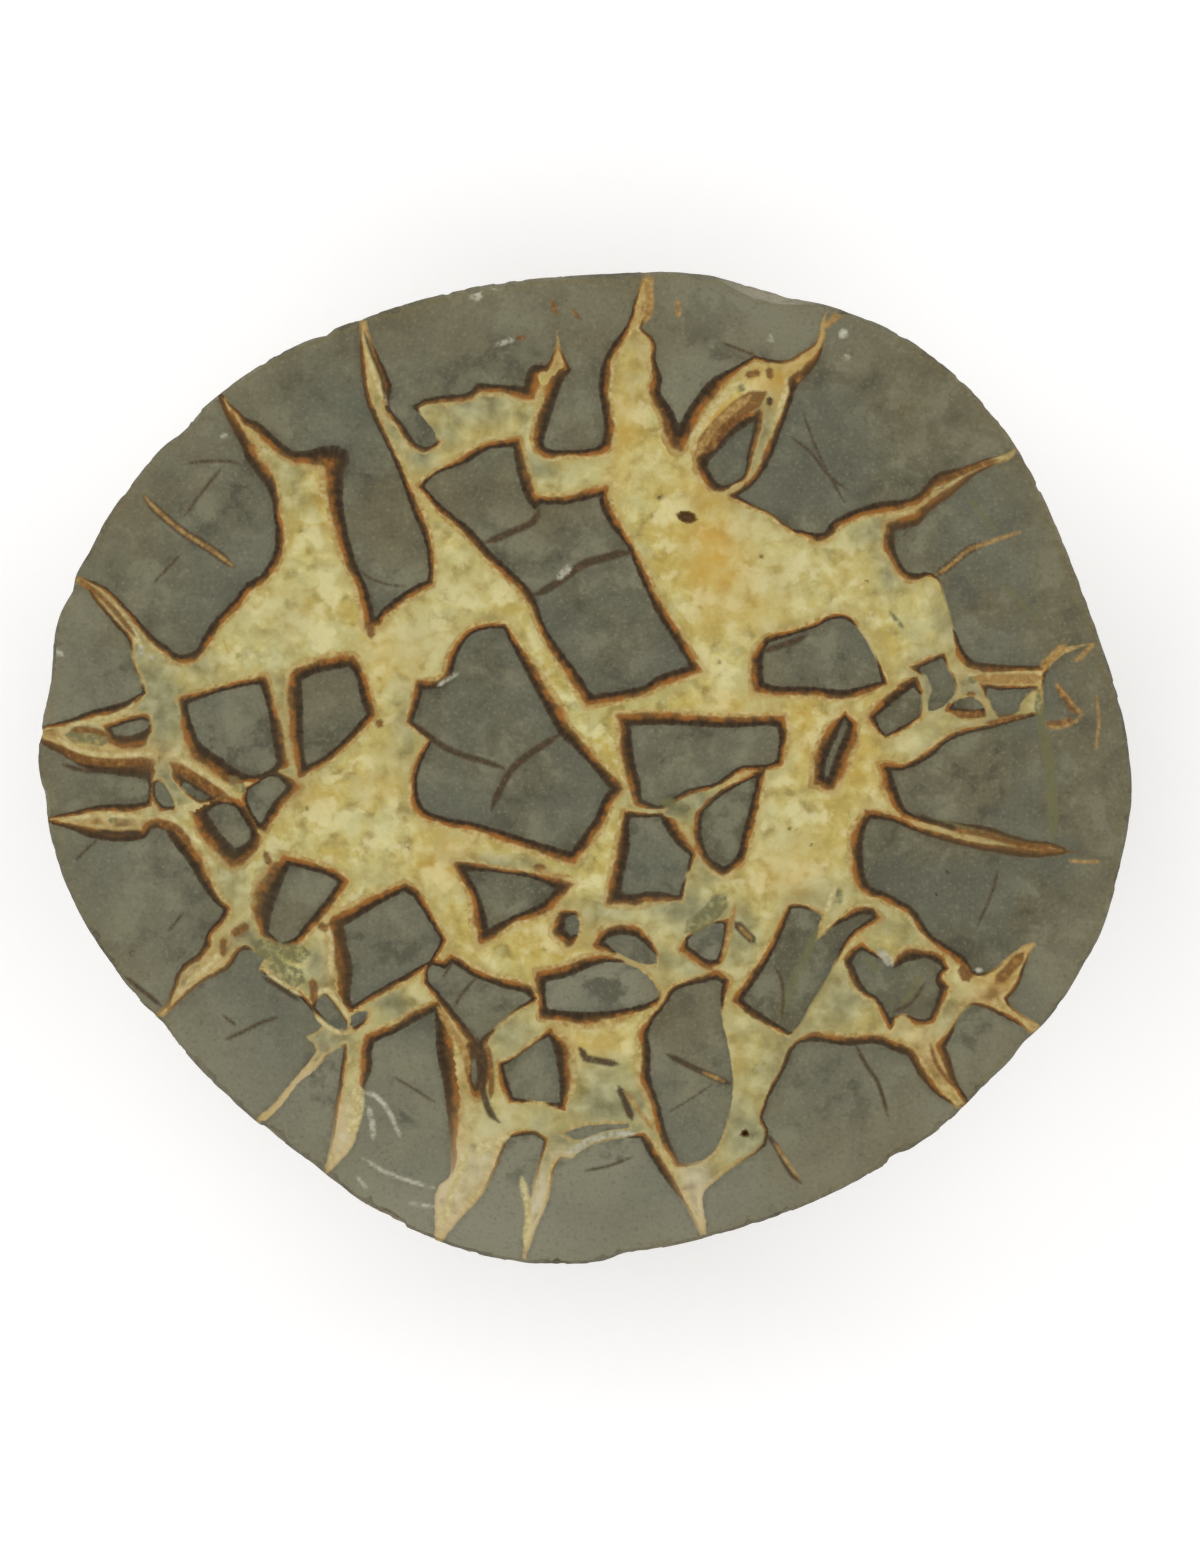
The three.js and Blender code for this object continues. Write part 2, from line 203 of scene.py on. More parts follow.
islands = {
    "west_small": [
        (-52.4, 4.4, 0.5), (-51, 4.9, 0.5), (-49.6, 5.3, 0.6), (-48.3, 5.5, 0.5),
        (-47.9, 5, 0.1), (-48, 4.2, 0.4), (-49, 3.7, 1.3), (-50.5, 3.3, 1.2), (-51.8, 3.5, 0.9),
    ],
    "west_pebble": [
        (-47.4, -1.6, 0.3), (-46.6, -1.4, 0.1), (-45.9, -2.4, 0), (-45.2, -3.8, 0),
        (-45.4, -4.4, 0.3), (-46.6, -4.3, 0.5), (-47.3, -3.2, 0.3),
    ],
    "west_large": [
        (-43.9, 7.2), (-39.85, 8.6, 0.5), (-36.6, 9.3, 0.6), (-35.6, 9.4), (-34.8, 6.7),
        (-34.3, 3.4, 1.1), (-33.7, 0.6, 1.0), (-34.5, -0.3, 0.5), (-36.6, -0.95, 0.9),
        (-37.6, -0.7, 1.4), (-40.3, 1.1, 1.6), (-42.6, 2.9, 1.4), (-43.2, 4.4, 1.0),
        (-43.6, 5.6),
    ],
    "west_strip": [
        (-44.4, -1.1, 1.1), (-42.5, -2.3, 1.4), (-41.1, -3.1, 1.2), (-41.3, -3.5, 0.2),
        (-42.3, -3.6, 0.2), (-43.5, -2.9, 0.2), (-44.4, -2.1, 0.1),
    ],
    "west_lower": [
        (-39.85, -3.8, 0.5), (-40.9, -4.1, 0.6), (-41.7, -4.95, 1.5), (-40.3, -7.2, 1.8),
        (-38.5, -9.05, 1.8), (-36.8, -8, 1.0), (-36.6, -7.2), (-37.7, -5.15),
        (-38.5, -4.1),
    ],
    "west_kite": [
        (-37.1, -2.4, 0.3), (-34.7, -0.85, 0.3), (-33.7, -0.85, 0.4), (-32.5, -2.1, 1.0),
        (-33.9, -3.5, 1.1), (-35.5, -6.2), (-35.95, -6.2, 0.6), (-36.7, -4.95, 0.5),
        (-37.3, -3.5, 0.4),
    ],
    "west_inner": [
        (-31.3, 9.7, 1.2), (-30, 10.4, 1.1), (-28.5, 10.8, 1.2), (-25.9, 11.3, 1.1),
        (-25.2, 10.4), (-24.4, 7.3, 1.0), (-23.9, 5.9), (-26.05, 3.4, 0.6), (-28.7, 1.1, 0.6),
        (-30.9, 0), (-31.15, 3.4, 1.4), (-31.2, 7.5, 1.5),
    ],
    "great_north": [
        (-17.9, 31, 0.4), (-16.6, 32.2, 0.2), (-12.9, 33.85), (-10.5, 35.2, 0.6),
        (-9.2, 35.4, 0.6), (-7.8, 35.5), (-7.1, 31.8, 1.1), (-6, 29.1, 1.2), (-5.4, 28.6),
        (-4.9, 29.2), (-2.3, 29.15), (1.8, 30.1), (1.8, 29, 1.0), (2.9, 26.8),
        (4.8, 24.3, 0.5), (6, 21.4), (8.25, 16.7), (10.1, 13.85), (11.7, 11.1, 0.9),
        (7.85, 9.85, 1.1), (6.8, 9), (5.2, 8.6), (0.7, 7.9, 1.1), (-0.9, 10.4, 1.0),
        (-2.9, 13), (-4.7, 15.9, 0.6), (-5.7, 18.8), (-8, 21.4), (-10.25, 23.5),
        (-12.9, 26.4), (-15.6, 28.5, 0.6),
    ],
    "great_middle": [
        (-8.9, 15.5, 0.4), (-11.5, 15.3, 0.5), (-12.6, 14.8, 0.5), (-14.2, 12.4),
        (-14.9, 9.9), (-15.6, 9.1, 0.9), (-16.8, 8.8, 0.9), (-17.9, 8.8), (-18.9, 5.6, 0.6),
        (-19.2, 5.1, 0.4), (-16.7, 3.3, 0.3), (-17.6, 1.7, 0.5), (-18.6, -0.9, 0.6),
        (-18.6, -2.2, 0.5), (-18.3, -3.7), (-17.6, -4.7), (-16.4, -5.3, 0.6), (-11.7, -6.3),
        (-6.15, -8, 1.0), (-1.5, -9.4, 1.0), (0.05, -7.2, 1.1), (1.1, -5.8, 1.0),
        (2.2, -3.3, 1.1), (2.9, -2.3, 1.1), (0.9, 0.2), (-1.2, 2.4, 1.1), (-2.7, 3.8, 1.1),
        (-3.9, 6.05, 1.3), (-5.5, 8.9, 1.2), (-7.2, 12.2),
    ],
    "east_wedge": [
        (19.5, 12.6, 1.0), (19.4, 11, 1.1), (19.5, 9.3, 1.1), (20.6, 8.9), (24.7, 8.8),
        (28.4, 8.4), (31.1, 9), (32.8, 9.4, 0.4), (31.7, 12.6, 0.1), (30.05, 15.3, 0.1),
        (28.8, 16.4, 0.4), (28, 16.6, 0.4), (24.3, 15.2, 0.4), (20.2, 14, 0.6),
    ],
    "middle_right": [
        (4.8, 4.8, 1.1), (8.25, 4.9, 1.1), (16.5, 4.6, 1.0), (19.5, 4.8), (21.2, 4.7, 1.0),
        (21.5, 3.8), (21.2, 0.7, 0.6), (20.2, 0.3, 0.4), (17.1, 0, 0.5), (14.4, -1.7, 0.3),
        (11.1, -2.6, 0.6), (8.2, -4.2, 0.3), (6.1, -3.6), (5.9, -1.7, 1.0), (5.2, 1.3, 1.2),
        (5, 3, 1.3),
    ],
    "middle_lower": [
        (4.7, -5.3, 0.6), (4.7, -8.85, 1.3), (4.05, -12.1, 1.2), (3.8, -13.9, 1.2),
        (5.2, -14.1, 1.0), (7.2, -13.7, 1.1), (10.4, -14.2, 0.4), (11.1, -11.7, 0.1),
        (11.8, -9.5, 0.5), (10.3, -8.4, 1.2), (8.7, -6, 1.0), (8.4, -5.3, 0.3),
    ],
    "middle_curved": [
        (19.2, -0.7, 0.5), (17.3, -1.6, 0.3), (15, -2.9, 0.5), (13.2, -4.5, 0.6), (12.7, -5.6),
        (12.7, -7.2), (13.6, -9.9), (15.3, -11.1), (16.7, -9.9), (17.5, -7.2), (18.3, -4.1),
    ],
    "leaf": [
        (18.8, 38.5), (16.6, 37, 1.9), (15, 35.4, 2.0), (13.5, 33.7, 1.6), (13.2, 33, 1.0),
        (14.6, 31.1), (15, 30.9, 0.5), (16, 31.2, 0.2), (17.5, 32.2, 0.3), (18, 34.5, 0.5),
        (18.6, 37, 0.6),
    ],
    "east_sliver": [
        (28.6, 5.9, 0.2), (29.1, 4.7, 0.9), (28.6, 3.6, 1.4), (27.3, 0.3, 1.3),
        (26.8, -1.3, 1.1), (26.1, -1.1, 1.1), (26.4, 0.7, 1.2), (27.7, 3.8, 1.3),
    ],
    "east_shard": [
        (31.8, 5.6), (34.8, 8.1, 1.0), (36.2, 9.2), (37, 7.9, 0.1), (36.8, 5.7, 0.2),
        (34.4, 4.2, 0.3), (33.1, 3.6, 0.2), (32.3, 4.4, 0.3),
    ],
    "east_tab": [
        (36.4, 11, 0.4), (38, 11.7, 0.5), (39.4, 12.2, 0.3), (39.9, 11, 0.1),
        (40.6, 9.5, 0.2), (40.8, 8.5, 0.1), (40, 7.3, 0.1), (39, 6.5, 0), (37.8, 6.2, 0),
        (37.7, 7.2, 0), (38.1, 8.7, 0), (37.6, 10, 0),
    ],
    "east_bar": [
        (43.9, 8.9, 0.3), (45.6, 8.7, 0.4), (49.5, 8.8, 0.2), (48.7, 8, 0), (47.9, 7, 0),
        (47.9, 6.3, 0), (46.9, 5.9, 0.2), (45.6, 5.7, 0.2), (44.9, 6.4, 0.1), (44.4, 7.5, 0.1),
    ],
    "east_chip": [
        (40.2, 6.5, 0.4), (40.9, 7.4, 0.1), (42.4, 7.9, 0), (43.4, 7.4, 0), (43.9, 6.6, 0.1),
        (43.6, 6.3), (41.9, 6.3),
    ],
    "south_west_square": [
        (-26.7, -17.3, 1.5), (-21.5, -14.2), (-19.9, -13.4), (-18.9, -14), (-17.85, -15.4, 0.5),
        (-15.7, -18.9, 0.5), (-16.8, -20.95, 0.3), (-18.9, -22.4, 0.5), (-22.2, -24.2, 0.6),
        (-25.7, -26.4, 0.4), (-26, -25, 1.3), (-25.7, -22, 1.8), (-26.4, -19.1, 1.5),
    ],
    "south_west_slab": [
        (-29.4, -25.2, 0.1), (-28.5, -24.9, 0.2), (-27.4, -26.3, 0.2), (-26.2, -28.2, 0.2),
        (-26.2, -28.9, 0.1), (-27.3, -28.8, 0.1), (-28.6, -27.8, 0.3), (-29.8, -26.3, 0.4),
    ],
    "south_west_crumb": [
        (-25.9, -28.4, 0), (-25.7, -27.2, 0), (-24.6, -26.7, 0), (-23.7, -26.7, 0),
        (-24.2, -27.7, 0.2), (-25.2, -28.5, 0.3),
    ],
    "south_west_fan": [
        (-32.6, -10.6, 1.0), (-31, -10.9), (-27.9, -11.9), (-27, -12.6), (-28.4, -14.6),
        (-30.4, -17), (-32, -18.9, 0.6), (-33.6, -19.3, 0.1), (-35, -18.1, 0.8),
        (-34.6, -16, 1.8), (-34, -14.2, 2.4), (-33, -11.6, 1.9),
    ],
    "south_hook": [
        (-13.3, -11.1), (-9.4, -11.4, 0.4), (-5.5, -12.1, 0.5), (-3.1, -13.2, 1.1),
        (-4.5, -14.8, 1.1), (-7.8, -16.4, 0.6), (-10.8, -17.9, 1.1), (-10.9, -16.8, 1.5),
        (-11.9, -13.8),
    ],
    "south_pebble": [
        (-2.3, -16.3), (-1, -16, 0.2), (-0.6, -17, 0), (-0.8, -18.4, 0.1), (-1.6, -18.6, 1.1),
        (-2.4, -17.8, 1.2),
    ],
    "south_wedge": [
        (-17.3, -22, 0.2), (-16.8, -21.5, 0.5), (-15.4, -21.9), (-14.6, -21.3),
        (-12.3, -22.7, 0.6), (-9.4, -23.9), (-6.3, -24.8), (-5.6, -25.4, 0.3),
        (-7.6, -26.5, 0.2), (-9.85, -28.5, 0.1), (-11.8, -30.4), (-13.5, -28.1),
        (-15.6, -25.5, 0.6), (-17.4, -23.5, 0.4),
    ],
    "south_splinter": [
        (-12.3, -31, 1.0), (-11.9, -32, 1.3), (-11.7, -34, 1.2), (-12, -35.5, 0.6),
        (-12.5, -34.5, 0.3), (-12.6, -32.5, 0.3),
    ],
    "south_middle": [
        (-9.2, -32.7, 0.4), (-7.8, -32, 0.2), (-5.1, -30, 0.2), (-3.9, -29.3, 0.6),
        (-3.3, -30.9, 1.5), (-2.7, -34.2, 1.2), (-2.6, -37.1, 0.5), (-4.9, -36.7, 0),
        (-8, -36.4, 0.4), (-8.6, -34.6),
    ],
    "south_slab": [
        (-4.4, -23.3, 1.1), (-2.5, -23, 1.1), (0.7, -21.7, 1.1), (2.5, -21.2, 0.6),
        (4.5, -21.5, 0.1), (6.2, -22.3, 0), (8.1, -24.5, 0.1), (8.1, -25.3, 0.2),
        (7.6, -25.7, 0.4), (3.7, -26.7), (0, -27, 1.1), (-4.2, -26.7, 1.0), (-4.5, -25.3, 0.6),
    ],
    "south_crescent": [
        (1.9, -19.3), (2.4, -18.6, 1.0), (4.15, -18.2, 1.0), (5.6, -18.4), (6.8, -19.4, 0.6),
        (7.9, -20.8, 0.1), (7.9, -21.6, 0), (6.8, -21.6, 0), (3.9, -20.5, 0),
    ],
    "south_nut": [
        (15.5, -17, 0.4), (15, -20.1, 0.4), (14.6, -21.2, 0.5), (13.8, -21.3), (11.2, -19.7),
        (11.3, -18.9, 0.3), (12.4, -17.9, 0.1), (13.8, -17.2, 0.1),
    ],
    "south_long": [
        (9.9, -24.4, 0.4), (13.2, -23.4, 0.6), (14.4, -23.1), (15.2, -23.6), (15, -26.7, 0.1),
        (15.9, -31.3, 0), (16.3, -35, 0), (15.8, -38.3, 0.1), (15, -40.8, 0), (14.2, -42.2, 0),
        (13, -43.1, 0.1), (11.3, -43.6, 0.2), (10.3, -43.4, 0.5), (8.9, -40.4), (8.05, -37.1),
        (7.1, -34.2, 1.0), (7, -30.9), (6.8, -29.3), (7.2, -28.1, 0.5), (8.7, -26.1, 0.3),
    ],
    "south_east_boot": [
        (22.6, -15.4, 0.4), (23.6, -15.3, 0.3), (26.1, -16.2, 0.1), (25.2, -19.2, 0),
        (27.4, -17.4, 0.2), (30, -16.1), (31.5, -15.9, 0.6), (31.9, -16.4, 0.6),
        (29.6, -18, 0.4), (28.4, -19.4, 0.3), (27.1, -22.2, 0.1), (24.9, -25.9, 0.1),
        (23, -28.9, 0.1), (22.4, -29.1, 0.3), (19.7, -27.4), (17.1, -25.5), (18.9, -23),
        (20.8, -19.7, 0.6),
    ],
    "south_east_ring": [
        (29.6, -20.6), (30.4, -19.8, 0.6), (31.1, -20.2, 0.3), (33.9, -21.9, 0.2),
        (34.8, -21.4, 1.0), (36.2, -21, 1.2), (37.6, -20.8), (38.9, -21.4), (39.5, -22, 0.4),
        (38.8, -22.8, 0.5), (38.7, -23.5), (39.2, -24.2), (38.5, -26.4, 0.6), (38, -27.6, 0.6),
        (36.6, -27.8, 0.5), (35.2, -27, 0.1), (34, -27.4, 0.2), (33.6, -28, 0.5),
        (32.9, -26.6, 0.5), (32, -25.2, 0.3), (31, -24.7, 0.5), (30.2, -23.5), (29.2, -21.4),
    ],
    "grey_sliver": [
        (-2.5, -40.2, 0.1), (0, -39.4, 0), (4.8, -39.1, 0), (5, -39.6, 0), (2, -40, 0),
        (-1, -40.9, 0),
    ],
}

corner_turn = 45  # degrees: a sharper turn than this stays a corner
outline_step = 0.45  # mm between the points of a rounded outline
beyond_rim = 14  # mm that the blocks at the rim run on past their last points
rim_overlap = 1.5  # mm that they spread sideways there, so that a vein closes beyond its tip
rim_lining = 0.1  # mm of lining there


def rounded(points, closed):
    """A line through the points: rounded, but with its corners kept.

    A third number is shared out between the points.
    """
    points = np.array(points, float)
    points, thirds = points[:, :2], points[:, 2:]
    count = len(points)
    spans = np.roll(points, -1, 0) - points
    lengths = np.linalg.norm(spans, axis=1)
    before = np.roll(spans, 1, 0) / np.roll(lengths, 1)[:, None]
    after = spans / lengths[:, None]
    is_corner = (before * after).sum(1) < math.cos(math.radians(corner_turn))
    if not closed:
        is_corner[0] = is_corner[-1] = True
    chord = before + after
    chord /= np.linalg.norm(chord, axis=1)[:, None] + 1e-9
    curve = []
    for i in range(count if closed else count - 1):
        j = (i + 1) % count
        leave = after[i] if is_corner[i] else chord[i]
        arrive = after[i] if is_corner[j] else chord[j]
        steps = max(1, round(lengths[i] / outline_step))
        t = (np.arange(steps) / steps)[:, None]
        leave_share = t * (1 - t) ** 2 * lengths[i]
        arrive_share = t**2 * (t - 1) * lengths[i]
        bend = (
            points[i] * (1 + 2 * t) * (1 - t) ** 2 + points[j] * t**2 * (3 - 2 * t)
            + leave * leave_share + arrive * arrive_share
        )
        curve.append(np.hstack([bend, thirds[i] * (1 - t) + thirds[j] * t]))
    if not closed:
        curve.append(np.hstack([points[-1:], thirds[-1:]]))
    return np.concatenate(curve)


def nearest_on(line, places, closed):
    """Distance of each place to a line of points, and how far along the line its nearest point is.

    Last comes the distance as it is off the sides that meet there, which keeps corners sharp.
    """
    ends = np.roll(line, -1, 0) if closed else line[1:]
    starts = line if closed else line[:-1]
    spans = ends - starts
    squares = (spans**2).sum(1) + 1e-12
    along = np.concatenate([[0], np.cumsum(np.sqrt(squares))])
    distance = np.empty(len(places))
    position = np.empty(len(places))
    off_sides = np.zeros(len(places))
    batch = 4000  # places at a time, to spare memory
    for first in range(0, len(places), batch):
        offset = places[first:first + batch, None, :] - starts[None]
        share = np.clip((offset * spans).sum(2) / squares, 0, 1)
        gap = ((offset - share[..., None] * spans) ** 2).sum(2)
        best = gap.argmin(1)
        rows = np.arange(len(best))
        share = share[rows, best]
        distance[first:first + batch] = np.sqrt(gap[rows, best])
        position[first:first + batch] = along[best] + share * np.sqrt(squares[best])
        beside = (best + (share >= 1) - (share <= 0)) % len(spans)
        for side in (best, beside):
            to_place, along_side = offset[rows, side], spans[side]
            cross = to_place[:, 0] * along_side[:, 1] - to_place[:, 1] * along_side[:, 0]
            off_side = abs(cross) / np.sqrt(squares[side])
            off_sides[first:first + batch] = np.maximum(off_sides[first:first + batch], off_side)
    return distance, position, off_sides


def is_inside(line, places):
    """Which places lie inside a closed line."""
    inside = np.zeros(len(places), bool)
    x, y = places[:, 0], places[:, 1]
    for (ax, ay), (bx, by) in zip(line, np.roll(line, -1, 0)):
        if ay != by:
            inside ^= ((ay > y) != (by > y)) & (x < (bx - ax) * (y - ay) / (by - ay) + ax)
    return inside


def with_lining(points):
    """The points, each with the thickness of the lining there."""
    return [(*point[:2], point[2] if len(point) == 3 else usual_lining) for point in points]


block_outlines = []
for points in rim_blocks.values():
    first, last = np.array(points[0][:2]), np.array(points[-1][:2])
    way_round = math.copysign(1, first[0] * last[1] - first[1] * last[0])
    outer = []
    for end, side in ((last, way_round), (first, -way_round)):
        away = end / np.linalg.norm(end)
        sideways = side * np.array([-away[1], away[0]])
        outer.append((*(end + away * beyond_rim + sideways * rim_overlap), rim_lining))
    block_outlines.append(np.concatenate([rounded(with_lining(points), False), outer]))
for points in islands.values():
    block_outlines.append(rounded(with_lining(points), True))

vein_reach = 4.0  # mm from the limestone past which a vein is all calcite
lining_root = 0.2  # mm that the lining reaches into the outlines
full_root = 0.5  # mm of lining from which it reaches that far
wall_shift = 61.7  # mm along from one block's wall to the next, so that no two look alike
corner_share = 0.62  # of the distance to a corner, below which the lining's own corner is cut off


def measure_walls(places):
    """What each place lies next to.

    Distance from the limestone (below 0 inside it), place along the wall, nearest block, and
    thickness of the dark lining on the wall there.
    """
    wall = np.full(len(places), vein_reach)
    along = np.zeros(len(places))
    block = np.zeros(len(places), int)
    lining = np.full(len(places), usual_lining)
    for number, outline in enumerate(block_outlines):
        line = outline[:, :2]
        low, high = line.min(0) - vein_reach, line.max(0) + vein_reach
        near = np.nonzero(((places > low) & (places < high)).all(1))[0]
        distance, position, off_sides = nearest_on(line, places[near], True)
        distance = np.maximum(off_sides, corner_share * distance)
        distance = np.where(is_inside(line, places[near]), -distance, distance)
        closer = distance < wall[near]
        chosen = near[closer]
        steps = np.linalg.norm(np.roll(line, -1, 0) - line, axis=1)
        marked = np.concatenate([[0], np.cumsum(steps)])
        widths = np.append(outline[:, 2], outline[0, 2])
        wall[chosen] = distance[closer]
        along[chosen] = position[closer] + wall_shift * number
        block[chosen] = number
        lining[chosen] = np.interp(position[closer], marked, widths)
    wall += lining_root * np.minimum(1, lining / full_root)
    return wall, along, block, lining


# ------------------------------------------------------------------ lining and markings of the cut
# Brown aragonite grew first, as a thin lining on every wall: dark next to the limestone, then
# rust, gold and cream. Each spot gives the width of the gold part where it is unlike the rest:
# middle, reach, width.

usual_gold = 0.3  # mm
usual_weight = 0.12  # against the full weight of a spot's own width
spot_edge = 1.6  # how sharply a spot ends
gold_spots = [
    (-27.2, 31, 1.8, 0.6), (-23.4, 15.6, 1.6, 0.8), (-28.5, 11.4, 2.4, 0.7),
    (-31.9, 6, 2, 0.8), (-55, 1.2, 3, 0.7), (-50, 1, 3, 0.8), (-27, -22, 2.6, 0.7),
    (-15, -36, 2.6, 0.8), (-14.2, -42.5, 3, 1.4), (-16, -48.5, 3, 1.2), (-25.6, -38.5, 2.6, 1.2),
    (-27, -42.5, 2.6, 1.3), (-13.5, -48.6, 2.5, 0.9), (-9.5, -44, 3.2, 0.9), (-2.4, -34, 2, 0.8),
    (0, -27.6, 3.6, 0.7), (7, -14.5, 2.4, 0.6), (29.6, -23.6, 1.2, 0.7), (39.6, -24.4, 1.4, 0.7),
    (30, -29.8, 3, 0.7), (13, -49, 3, 0.8), (6.9, 51.5, 3.5, 0.7), (-17.5, 38, 2, 0),
    (39.8, 17, 3, 0), (41, 13.4, 1.6, 0), (38.5, 20.2, 1.5, 0), (31.8, 13.4, 2.4, 0),
    (12, -3, 3, 0), (11.7, -12, 1.6, 0), (6.5, -4.8, 1.4, 0), (-44.3, 5, 1.8, 0),
    (20.8, -33.8, 3, 0), (19.2, -39, 2.6, 0), (16.4, -30, 3.4, 0), (16.8, -36, 3, 0),
    (27.6, -22.5, 2.4, 0), (25, -26, 2.6, 0), (38.5, 8.5, 2.2, 0), (47, 6.5, 2.4, 0),
]

# Lines on the cut: hairline cracks in the limestone, thin gold veinlets, and pale streaks. Each is
# its greatest width and its points; it thins out towards both ends.
dark_lines = [
    (0.6, [(36.6, -5.2), (38.6, -6), (41, -6.7)]),
    (0.3, [(15, 46.8), (17.1, 46), (18.7, 45.4)]),
    (0.3, [(-44, 33.5), (-40, 33.8), (-38, 33.5)]),
    (0.3, [(-40, 33), (-42, 30.5), (-44, 27.8)]),
    (0.3, [(-44.5, 23.5), (-47.5, 20.3)]),
    (0.25, [(-24.9, 21.85), (-24, 21.1), (-22.8, 20.5), (-21.1, 20.1), (-19.7, 20)]),
    (0.3, [(22.5, 36.5), (24.5, 35), (27, 32), (29, 30.5)]),
    (0.25, [(24, 39), (25.5, 35), (27, 32), (28.5, 29.3)]),
    (0.3, [(45.4, -11.3), (45, -13), (44.4, -14.6), (43.8, -16), (43.2, -17.3)]),
    (0.3, [(0, -44.3), (2.5, -43.8), (5.2, -42.8)]),
    (0.25, [(-21, -34), (-18.5, -35.5), (-16.5, -36.8)]),
    (0.4, [(-39.6, -29.9), (-37.4, -28.9), (-35.5, -27.95), (-33.7, -27.4)]),
    (0.3, [(-39.8, -27.2), (-38.4, -28.3)]),
    (0.5, [(-50.7, -22.9), (-49.3, -24), (-47.85, -25.15), (-46.6, -26.2)]),
    (0.3, [(-45.8, -17.9), (-44.2, -16)]),
    (0.3, [(-53.6, -7.8), (-56, -10.1)]),
    (0.8, [(-5, 28.5), (-5.6, 27.2), (-8, 26), (-9.6, 25.3), (-11, 24.8)]),
    (0.95, [(5.2, 23.7), (3.95, 23.6), (2.1, 23.1), (0.05, 22.5), (-1, 21.9), (-2.7, 20.6),
           (-4.9, 19.3), (-5.8, 19)]),
    (0.7, [(-19.2, 5.1), (-16.8, 3.2), (-15, 2.05), (-13.1, 1.3), (-11.3, 0.8), (-9.85, 0.3),
           (-8.8, -0.1)]),
    (0.8, [(-2.7, 3.7), (-4.5, 2.6), (-6.4, 1.3), (-8, -0.1), (-9.2, -2.1), (-9.85, -3.5),
           (-10.3, -4.7)]),
    (0.7, [(19.7, 12.8), (22, 13.6), (24.3, 14.5)]),
    (1.0, [(-48.5, 30), (-48, 29.3), (-46, 27.4), (-44, 25.8), (-42, 24.6), (-40, 23.2),
           (-38.5, 22)]),
    (0.9, [(38.5, 21.2), (39.7, 21.95), (41.1, 23.1), (42.4, 24.1), (43.8, 24.6)]),
    (0.5, [(-57.5, 0.4), (-55, -0.3), (-52, -0.3)]),
    (0.6, [(-53.5, -7), (-51, -7.2), (-48.7, -7.1)]),
    (0.5, [(-35.4, -23), (-33.8, -24), (-31.4, -25.6)]),
    (0.7, [(20.3, 40.8), (20.3, 39.9)]),
    (0.35, [(-12.1, -23.2), (-13.5, -24.8), (-14.4, -26.3)]),
    (0.3, [(-14.6, -21.4), (-15.6, -23)]),
    (0.8, [(-11.9, -29.7), (-11.3, -31.3), (-11.1, -33.2), (-11.3, -34.8), (-10.9, -36.7),
           (-10.3, -38.1), (-9.4, -39)]),
    (1.0, [(16.5, -17), (18.7, -19.2)]),
    (0.7, [(9, -31.5), (12, -33), (16, -34.8)]),
    (0.2, [(9.1, -37.9), (11.5, -36.5), (14, -34.8)]),
    (0.8, [(-0.6, -30.7), (0.05, -31.95), (2, -32.3), (3.7, -32.6)]),
    (0.8, [(3.7, -35), (4.4, -36.7), (5.2, -38.7)]),
    (0.3, [(20.8, -21.8), (21.6, -23.2), (21.8, -25.7), (21.6, -27.7)]),
    (0.45, [(29.8, -30.5), (30.9, -32.6), (32.1, -34.4), (32.7, -36), (33.3, -38.3)]),
    (0.6, [(19.9, -40.2), (21, -41.6), (21.6, -42.8), (22.6, -44.5), (23.8, -45.7)]),
    (0.35, [(33.9, -26.8), (35, -26.4), (36, -25.7), (36.8, -24.6), (37.4, -23.6)]),
    (0.4, [(-24.3, 48), (-23.4, 45.4), (-22.3, 42.6), (-22, 40.6)]),
]
gold_lines = [
    (1.2, [(42.8, 9.9), (46, 9.8), (50.3, 9.9)]),
    (0.4, [(-48.5, 30), (-48, 29.3), (-46, 27.4), (-44, 25.8), (-42, 24.6), (-40, 23.2),
            (-38.5, 22)]),
    (0.4, [(38.5, 21.2), (39.7, 21.95), (41.1, 23.1), (42.4, 24.1), (43.8, 24.6), (48, 26)]),
    (0.3, [(20.8, -41.2), (22.3, -43.5), (23.6, -45.2)]),
    (0.35, [(13, -33.5), (15.4, -34.5)]),
    (0.45, [(17, -17.5), (18.3, -18.8)]),
    (0.35, [(51.6, 9.5), (53, 7.9), (54.05, 6.5), (54.9, 5.9)]),
    (0.35, [(50.8, 4.6), (52.2, 4.5), (53.6, 4.9), (54.7, 5.9)]),
    (0.9, [(12.2, 34.2), (14, 37.2), (16.2, 39.4), (18.2, 40.9)]),
    (0.9, [(50.2, 11.1), (51.2, 12), (52.2, 13), (52.8, 13.5)]),
    (0.5, [(53.8, 11.8), (54.4, 12.1), (55.2, 12.9), (56, 13.7)]),
    (0.35, [(53.2, -10.2), (54.8, -10.3), (56.6, -10.3)]),
    (0.3, [(56.3, 8), (56.5, 5), (56.2, 2)]),
    (0.8, [(-16.2, -26.3), (-15, -28.3), (-13.9, -30.1), (-13.1, -31.7), (-12.8, -33.4)]),
    (0.5, [(4.4, -35.4), (6, -37.8), (7.6, -39.9)]),
    (0.5, [(-5.5, -11.1), (-3.9, -11.7), (-1.6, -11.9)]),
    (0.6, [(16.5, -15), (15.9, -18), (15.2, -21)]),
    (1.0, [(7.1, 55), (7, 53), (7.1, 51), (6.6, 49)]),
    (0.6, [(10.2, 51.4), (10.3, 49.6)]),
    (0.7, [(29.4, 51), (27.6, 49.6), (26.3, 48.4)]),
]
